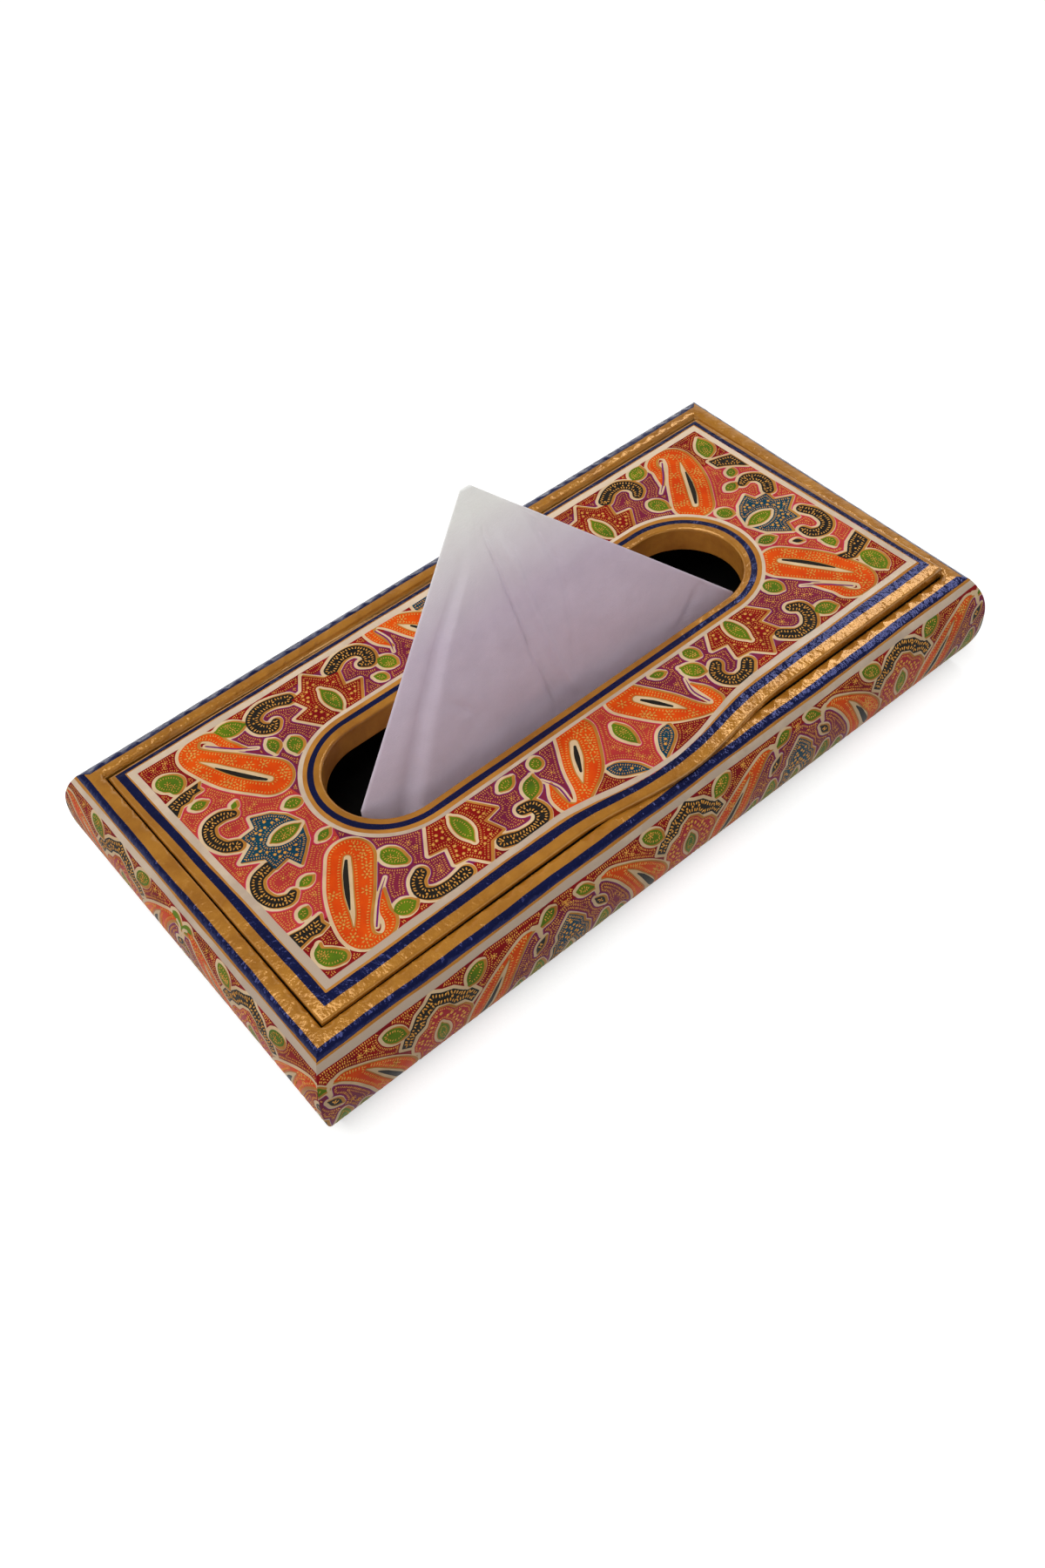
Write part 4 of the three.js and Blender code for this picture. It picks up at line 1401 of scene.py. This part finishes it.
def standing_row(rise, across_left, across_main):
    left, ridge, right = tissue_row(rise)
    ridge = ridge + [np.interp(rise, *np.transpose(RIDGE_BEND)), 0]
    points = []
    for across in across_left:
        x, y = left + (ridge - left) * across
        sag = LEFT_SAG * min(1, max(0, (LEFT_SAG_TOP - rise) / LEFT_SAG_FADE))
        points.append((x, y + sag * math.sin(math.pi * across ** 3) ** 2))
    main = ridge + (right - ridge) * across_main[:, None]
    taper = min(1, max(0, 1 - rise / PEAK_HEIGHT))
    crease = np.exp(-((across_main - CREASE_SHARE) / CREASE_SPREAD) ** 2)
    # The relief fades out at the panel's edges and towards the peak
    edge = (np.minimum(1, (1 - across_main) * RIGHT_FADE)
            * np.minimum(1, across_main * RIDGE_FADE))
    fade = min(1, (PEAK_HEIGHT - rise) / PEAK_FADE) * edge
    relief = panel_relief(main[:, 0], max(rise, RELIEF_FOOT))
    main[:, 1] += CREASE_DEPTH * taper * crease - fade * relief
    points = np.vstack([points, main])
    # The ridge is rounded, because the paper isn't pressed there
    first, last = len(across_left) - SOFT_COLUMNS, len(across_left) + SOFT_COLUMNS
    for _ in range(RIDGE_SOFTENING):
        softened = points.copy()
        softened[1:-1] = (points[:-2] + 2 * points[1:-1] + points[2:]) / 4
        points[first:last] = softened[first:last]
    return np.column_stack([points, np.full(len(points), BOX_HEIGHT + rise)])


def pleat_path():
    """The pleats' section, as (y, z) from the top fold down to the last pleat's end."""
    pitch = (PLEAT_TOP - PLEAT_FOOT) / PLEATS
    half_depth = math.sqrt((SLOT_RADIUS - PLEAT_ROOM) ** 2 - (SLOT_RADIUS - PLEAT_END_ROOM) ** 2)
    path = []
    for pleat in range(PLEATS):
        side = 1 if pleat % 2 else -1
        middle = PLEAT_TOP - (pleat + 0.5) * pitch
        # The first fold starts part of the way round, where the sheet comes down to it
        for angle in np.linspace(90, -90, 7)[0 if pleat else 2:]:
            turned = math.radians(angle)
            reach = half_depth - pitch / 2 * (1 - math.cos(turned))
            path.append((SLOT_CENTRE[1] + side * reach, middle + pitch / 2 * math.sin(turned)))
    path.append((SLOT_CENTRE[1] + half_depth * (1 if PLEATS % 2 else -1), path[-1][1]))
    path = np.array(path)
    full = [path[:1]]
    for a, b in zip(path, path[1:]):
        count = max(1, int(np.hypot(*(b - a)) / PLEAT_STEP))
        full.append(a + (b - a) * np.linspace(0, 1, count + 1)[1:, None])
    return np.vstack(full)


def level_row(x, y, z):
    return np.column_stack([x, np.full(len(x), y), np.full(len(x), z)])


def tissue_rows():
    """The sheet's middle surface, row by row from the peak to the last pleat's end."""
    across_left = np.linspace(0, 1, LEFT_COLUMNS)[:-1]
    across_main = np.concatenate([np.linspace(0, RIDGE_SHARE, RIDGE_COLUMNS)[:-1],
                                  np.linspace(RIDGE_SHARE, 1, MAIN_COLUMNS)])
    rises = np.concatenate([np.linspace(PEAK_HEIGHT, 0, STANDING_ROWS),
                            np.linspace(0, -PASSAGE, PASSAGE_ROWS)[1:]])
    rows = [standing_row(rise, across_left, across_main) for rise in rises]
    share = np.concatenate([
        across_left * LEFT_PARTS / ALL_PARTS,
        (LEFT_PARTS + across_main * (ALL_PARTS - LEFT_PARTS)) / ALL_PARTS])
    left = SLOT_LEFT + RIDGE_ROOM
    right = SLOT_RIGHT - PLEAT_END_ROOM
    x = left + (right - left) * share
    path = pleat_path()
    start = rows[-1]
    for share in JOINING_SHARES:
        rows.append(start * (1 - share) + share * level_row(x, *path[0]))
    rows += [level_row(x, y, z) for y, z in path]
    return np.array(rows)


def make_tissue(materials):
    rows = tissue_rows()
    normals = np.cross(np.gradient(rows, axis=0), np.gradient(rows, axis=1))
    normals /= np.linalg.norm(normals, axis=2, keepdims=True)
    points = np.concatenate([(rows + side * TISSUE_THICKNESS / 2 * normals).reshape(-1, 3)
                             for side in (1, -1)])
    row_count, column_count, _ = rows.shape
    ids = np.arange(row_count * column_count).reshape(row_count, column_count)
    back = ids + row_count * column_count
    quads = [np.stack([ids[:-1, :-1], ids[1:, :-1], ids[1:, 1:], ids[:-1, 1:]], axis=-1),
             np.stack([back[:-1, :-1], back[:-1, 1:], back[1:, 1:], back[1:, :-1]], axis=-1)]
    faces = np.concatenate([q.reshape(-1, 4) for q in quads]).tolist()
    rim, rim_back = (np.concatenate([side[0, :-1], side[:-1, -1], side[-1, :0:-1], side[:0:-1, 0]])
                     for side in (ids, back))
    for i in range(len(rim)):
        j = (i + 1) % len(rim)
        faces.append([int(rim[i]), int(rim[j]), int(rim_back[j]), int(rim_back[i])])
    tissue = add_mesh("tissue_paper", points, faces, materials, ["tissue"] * len(faces), "tissue")
    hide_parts("tissue")


# Nodes

def fill(tree, made, values):
    """Gives a node its values, by input name or number. One that is another's output is linked."""
    for name, value in values.items():
        if isinstance(value, bpy.types.NodeSocket):
            tree.links.new(value, made.inputs[name])
        elif isinstance(name, int) or name in made.inputs:
            made.inputs[name].default_value = value
        else:
            setattr(made, name, value)


def node(tree, kind, numbered=None, **named):
    """A new node. Settings such as its operation come first, because they choose its inputs."""
    made = tree.nodes.new(kind)
    fill(tree, made, named)
    fill(tree, made, numbered or {})
    return made


def maths(tree, operation, *values, **settings):
    made = node(tree, "ShaderNodeMath", dict(enumerate(values)), operation=operation, **settings)
    return made.outputs["Value"]


def ranged(tree, value, low, high, to_low=0.0, to_high=1.0):
    """The value between low and high, as one between to_low and to_high."""
    limits = {"From Min": low, "From Max": high, "To Min": to_low, "To Max": to_high}
    return node(tree, "ShaderNodeMapRange", limits, Value=value).outputs["Result"]


def mixed(tree, factor, first, second):
    made = node(tree, "ShaderNodeMix", data_type="RGBA", Factor=factor, A=first, B=second)
    return made.outputs["Result"]


def object_place(tree):
    return node(tree, "ShaderNodeTexCoord").outputs["Object"]


def part_of(tree, vector, axis):
    return node(tree, "ShaderNodeSeparateXYZ", Vector=vector).outputs[axis]


def noise(tree, scale, detail, roughness):
    return node(tree, "ShaderNodeTexNoise", Vector=object_place(tree), Scale=scale, Detail=detail,
                Roughness=roughness).outputs["Fac"]


def bumped(tree, height, depth, strength=1.0, **under):
    """The normals of a relief so many millimetres deep. Another relief's may lie under it."""
    return node(tree, "ShaderNodeBump", Height=height, Distance=depth / METRE, Strength=strength,
                **under).outputs["Normal"]


def new_material(name):
    material = bpy.data.materials.new(name)
    material.use_nodes = True
    return material, material.node_tree, material.node_tree.nodes["Principled BSDF"]


def show(tree, shader):
    fill(tree, tree.nodes["Material Output"], {"Surface": shader.outputs["Shader"]})


def linear(red, green, blue):
    """An sRGB colour, 0 to 255, as the linear colour that shaders take."""
    def one(level):
        level /= 255
        return level / 12.92 if level <= 0.04045 else ((level + 0.055) / 1.055) ** 2.4
    return (one(red), one(green), one(blue), 1)


# Materials

LACQUER_ROUGHNESS = 0.08
ROUGHNESS_SPREAD = 0.08
# The part of the patches' noise over which one tone gives way to the other
PATCH_LEVELS = (0.35, 0.65)


def paint(name, tone, second, roughness=0.5, coat=0.02, gloss=0.06, metallic=0.0, grain=900.0,
          bump=0.05, uneven=0.0, shine=(255, 255, 255), painted_light=None):
    """Lacquered paint: two tones laid unevenly, with the brush's fine ridges under the lacquer."""
    material, tree, shader = new_material(name)
    patches = ranged(tree, noise(tree, MOTTLE_SCALE, 4.0, 0.6), *PATCH_LEVELS)
    # Painted light: where given, it shifts the pale patches by place, to stand in for light and shade
    if painted_light:
        patches = painted_light(tree, patches)
    ridges = noise(tree, grain, 3.0, 0.55)
    under = {}
    if uneven:
        under["Normal"] = bumped(tree, noise(tree, UNEVEN_SCALE, 3.0, 0.6), uneven)
    relief = bumped(tree, ridges, bump, **under)
    fill(tree, shader, {
        "Base Color": mixed(tree, patches, linear(*tone), linear(*second)),
        "Roughness": ranged(tree, ridges, 0.0, 1.0, roughness - ROUGHNESS_SPREAD,
                            roughness + ROUGHNESS_SPREAD),
        "Metallic": metallic,
        "Specular IOR Level": gloss,
        "Specular Tint": linear(*shine),
        "Coat Weight": coat,
        "Coat Roughness": LACQUER_ROUGHNESS,
        "Normal": relief,
    })
    if uneven:
        fill(tree, shader, {"Coat Normal": relief})
    return material


def painted_light_falloff(tree, patches):
    """Painted light: fewer pale patches towards the lid's front left corner, as painted shade there.
    """
    place = object_place(tree)
    total = PAINTED_LIGHT_START
    for axis, slope in PAINTED_LIGHT_SLOPES:
        total = maths(tree, "MULTIPLY_ADD", part_of(tree, place, axis), slope, total)
    return maths(tree, "MULTIPLY_ADD", patches, PAINTED_LIGHT_CLOUDS, total, use_clamp=True)


def tissue_paper():
    """Thin crepe paper: a fine grain and creping ridges, with some light coming through, and painted
    light that makes it paler towards the top.
    """
    material, tree, shader = new_material("tissue_paper")
    cloudy = noise(tree, 160.0, 5.0, 0.7)
    creping = node(tree, "ShaderNodeTexWave", bands_direction="Z", Vector=object_place(tree),
                   Scale=420.0, Distortion=6.0, Detail=3.0).outputs["Fac"]
    tone = mixed(tree, cloudy, linear(225, 216, 227), linear(240, 231, 241))
    # Painted light: the paper's colour turns paler up towards the peak, for light shining through it
    # there
    painted_backlight = ranged(tree, part_of(tree, object_place(tree), "Z"),
                  *[(BOX_HEIGHT + rise) / METRE for rise in PAINTED_BACKLIGHT_RISES])
    tone = mixed(tree, painted_backlight, tone, linear(254, 254, 252))
    relief = bumped(tree, cloudy, 0.14, 0.7, Normal=bumped(tree, creping, 0.05, 0.5))
    fill(tree, shader, {"Roughness": 0.9, "Specular IOR Level": 0.15, "Sheen Weight": 0.1,
                        "Base Color": tone, "Normal": relief})
    through = node(tree, "ShaderNodeBsdfTranslucent", Color=tone, Normal=relief)
    show(tree, node(tree, "ShaderNodeMixShader", {
        1: shader.outputs["BSDF"], 2: through.outputs["BSDF"]}, Fac=THROUGH_SHARE))
    return material


# The two tones of the plain paints
TONES = {
    "crimson": ((136, 14, 12), (104, 12, 22)),
    "purple": ((122, 34, 56), (102, 26, 52)),
    "coral_ground": ((176, 58, 46), (156, 44, 44)),
    "coral": ((170, 46, 46), (148, 36, 50)),
    "orange": ((210, 76, 7), (190, 56, 5)),
    "green": ((92, 116, 14), (64, 90, 20)),
    "red": ((136, 16, 10), (112, 10, 14)),
    "black": ((26, 23, 20), (36, 32, 26)),
    "teal": ((12, 62, 78), (10, 48, 68)),
    "cream": ((206, 179, 142), (190, 160, 122)),
    "magenta": ((188, 44, 88), (170, 36, 84)),
    "purple_line": ((116, 30, 100), (94, 22, 88)),
}


def paints():
    made = {name: paint(name + "_paint", *tones) for name, tones in TONES.items()}
    made.update({
        # The border cream carries painted light: paler to the right and back, painted shade to the
        # front left
        "border_cream": paint("border_cream_paint", (171, 151, 132), (210, 188, 162), coat=0.3,
                              painted_light=painted_light_falloff),
        "gold_line": paint("thin_gold_paint", (176, 120, 50), (154, 98, 38)),
        "navy": paint("navy_paint", (10, 15, 50), (8, 11, 40), roughness=0.16, coat=0.06,
                      gloss=0.6, uneven=0.5, shine=(150, 160, 255)),
        "gold": paint("gold_paint", (174, 116, 38), (152, 96, 28), metallic=0.2, bump=0.1,
                      roughness=0.18, coat=0.22, gloss=0.9, grain=600.0, uneven=0.32,
                      shine=(255, 232, 175)),
        "slot_gold": paint("slot_gold_paint", (176, 116, 42), (150, 94, 32), metallic=0.2,
                           bump=0.2, grain=400.0),
        "gold_mark": paint("gold_mark_paint", (222, 160, 76), (202, 138, 58), metallic=0.1,
                           bump=0.02),
        "board": paint("blackened_board", (16, 15, 14), (24, 22, 20), roughness=0.8, coat=0.0),
        "nail": paint("steel_nail", (150, 148, 144), (120, 116, 110), metallic=0.9, coat=0.0,
                      grain=2000.0),
        "tissue": tissue_paper(),
    })
    return made


def finish_cad_nodes(materials):
    for name, finish in (("base_board", "board"), ("hinge_nail_left", "nail"),
                         ("hinge_nail_right", "nail")):
        shown = bpy.data.objects[name]
        shown.data.materials.clear()
        shown.data.materials.append(materials[finish])


# Stage, light and camera

def seen_white(tree):
    """One for the rays that see the studio as white: the camera's, reflected and let through."""
    path = node(tree, "ShaderNodeLightPath")
    total = path.outputs["Is Camera Ray"]
    for name in ("Is Glossy Ray", "Is Transmission Ray"):
        total = maths(tree, "MAXIMUM", total, path.outputs[name])
    return total


def floor_paint():
    """Pale grey, which the rays that see the studio as white see lifted to white."""
    material = paint("floor_white", (194, 194, 194), (192, 192, 192), roughness=0.7, coat=0.0)
    tree = material.node_tree
    plain = tree.nodes["Principled BSDF"].outputs["BSDF"]
    # The far floor, out of the lamps' reach, is lifted more
    away = node(tree, "ShaderNodeVectorMath", {0: object_place(tree)}, operation="LENGTH")
    lift = ranged(tree, away.outputs["Value"], *LIFT_DISTANCES, FLOOR_LIFT, FAR_FLOOR_LIFT)
    glow = node(tree, "ShaderNodeEmission", Strength=lift).outputs["Emission"]
    lifted = node(tree, "ShaderNodeAddShader", {0: plain, 1: glow}).outputs["Shader"]
    show(tree, node(tree, "ShaderNodeMixShader", {1: plain, 2: lifted}, Fac=seen_white(tree)))
    return material


def make_floor():
    mesh = bpy.data.meshes.new("floor")
    corners = [(-1, -1), (1, -1), (1, 1), (-1, 1)]
    mesh.from_pydata([(x * FLOOR_REACH, y * FLOOR_REACH, 0) for x, y in corners], [],
                     [(0, 1, 2, 3)])
    floor = bpy.data.objects.new("floor", mesh)
    bpy.context.scene.collection.objects.link(floor)
    mesh.materials.append(floor_paint())


def make_backdrop():
    """White up to the ceiling, which is dimmer and which only the camera sees as white too."""
    world = bpy.data.worlds.new("studio")
    world.use_nodes = True
    tree = world.node_tree
    way = node(tree, "ShaderNodeTexCoord").outputs["Generated"]
    below = ranged(tree, part_of(tree, way, "Z"), CEILING_HEIGHTS[1], CEILING_HEIGHTS[0])
    white = maths(tree, "MAXIMUM", maths(tree, "MULTIPLY", below, seen_white(tree)),
                  node(tree, "ShaderNodeLightPath").outputs["Is Camera Ray"])
    fill(tree, tree.nodes["Background"], {
        "Color": (1, 1, 1, 1), "Strength": ranged(tree, white, 0.0, 1.0, WORLD_STRENGTH, 1.0)})
    bpy.context.scene.world = world


def lamp(name, place, aim, size, power):
    data = bpy.data.lights.new(name, "AREA")
    data.shape = "RECTANGLE"
    data.size, data.size_y = size
    data.energy = power
    made = bpy.data.objects.new(name, data)
    direction = Vector(aim) - Vector(place)
    made.rotation_euler = direction.to_track_quat("-Z", "Y").to_euler()
    made.location = place
    bpy.context.scene.collection.objects.link(made)


def stage_and_light():
    make_floor()
    make_backdrop()
    bpy.context.scene.view_settings.view_transform = "Standard"
    for name, settings in LAMPS.items():
        lamp(name, *settings)


def camera():
    data = bpy.data.cameras.new("camera")
    data.sensor_fit = "VERTICAL"
    data.sensor_height = SENSOR_HEIGHT
    data.lens = CAMERA_LENS
    made = bpy.data.objects.new("camera", data)
    bpy.context.scene.collection.objects.link(made)
    turn = Matrix(CAMERA_AXES).transposed().to_4x4()
    made.matrix_world = Matrix.Translation(CAMERA_PLACE) @ turn
    bpy.context.scene.camera = made


materials = paints()
lid_painting = make_lid(materials)
gold_marks("lid_gold_work", lid_painting, lid_place, materials, "lid",
           LID_MARKS_SEED)
make_walls(materials)
make_tissue(materials)
finish_cad_nodes(materials)
stage_and_light()
camera()
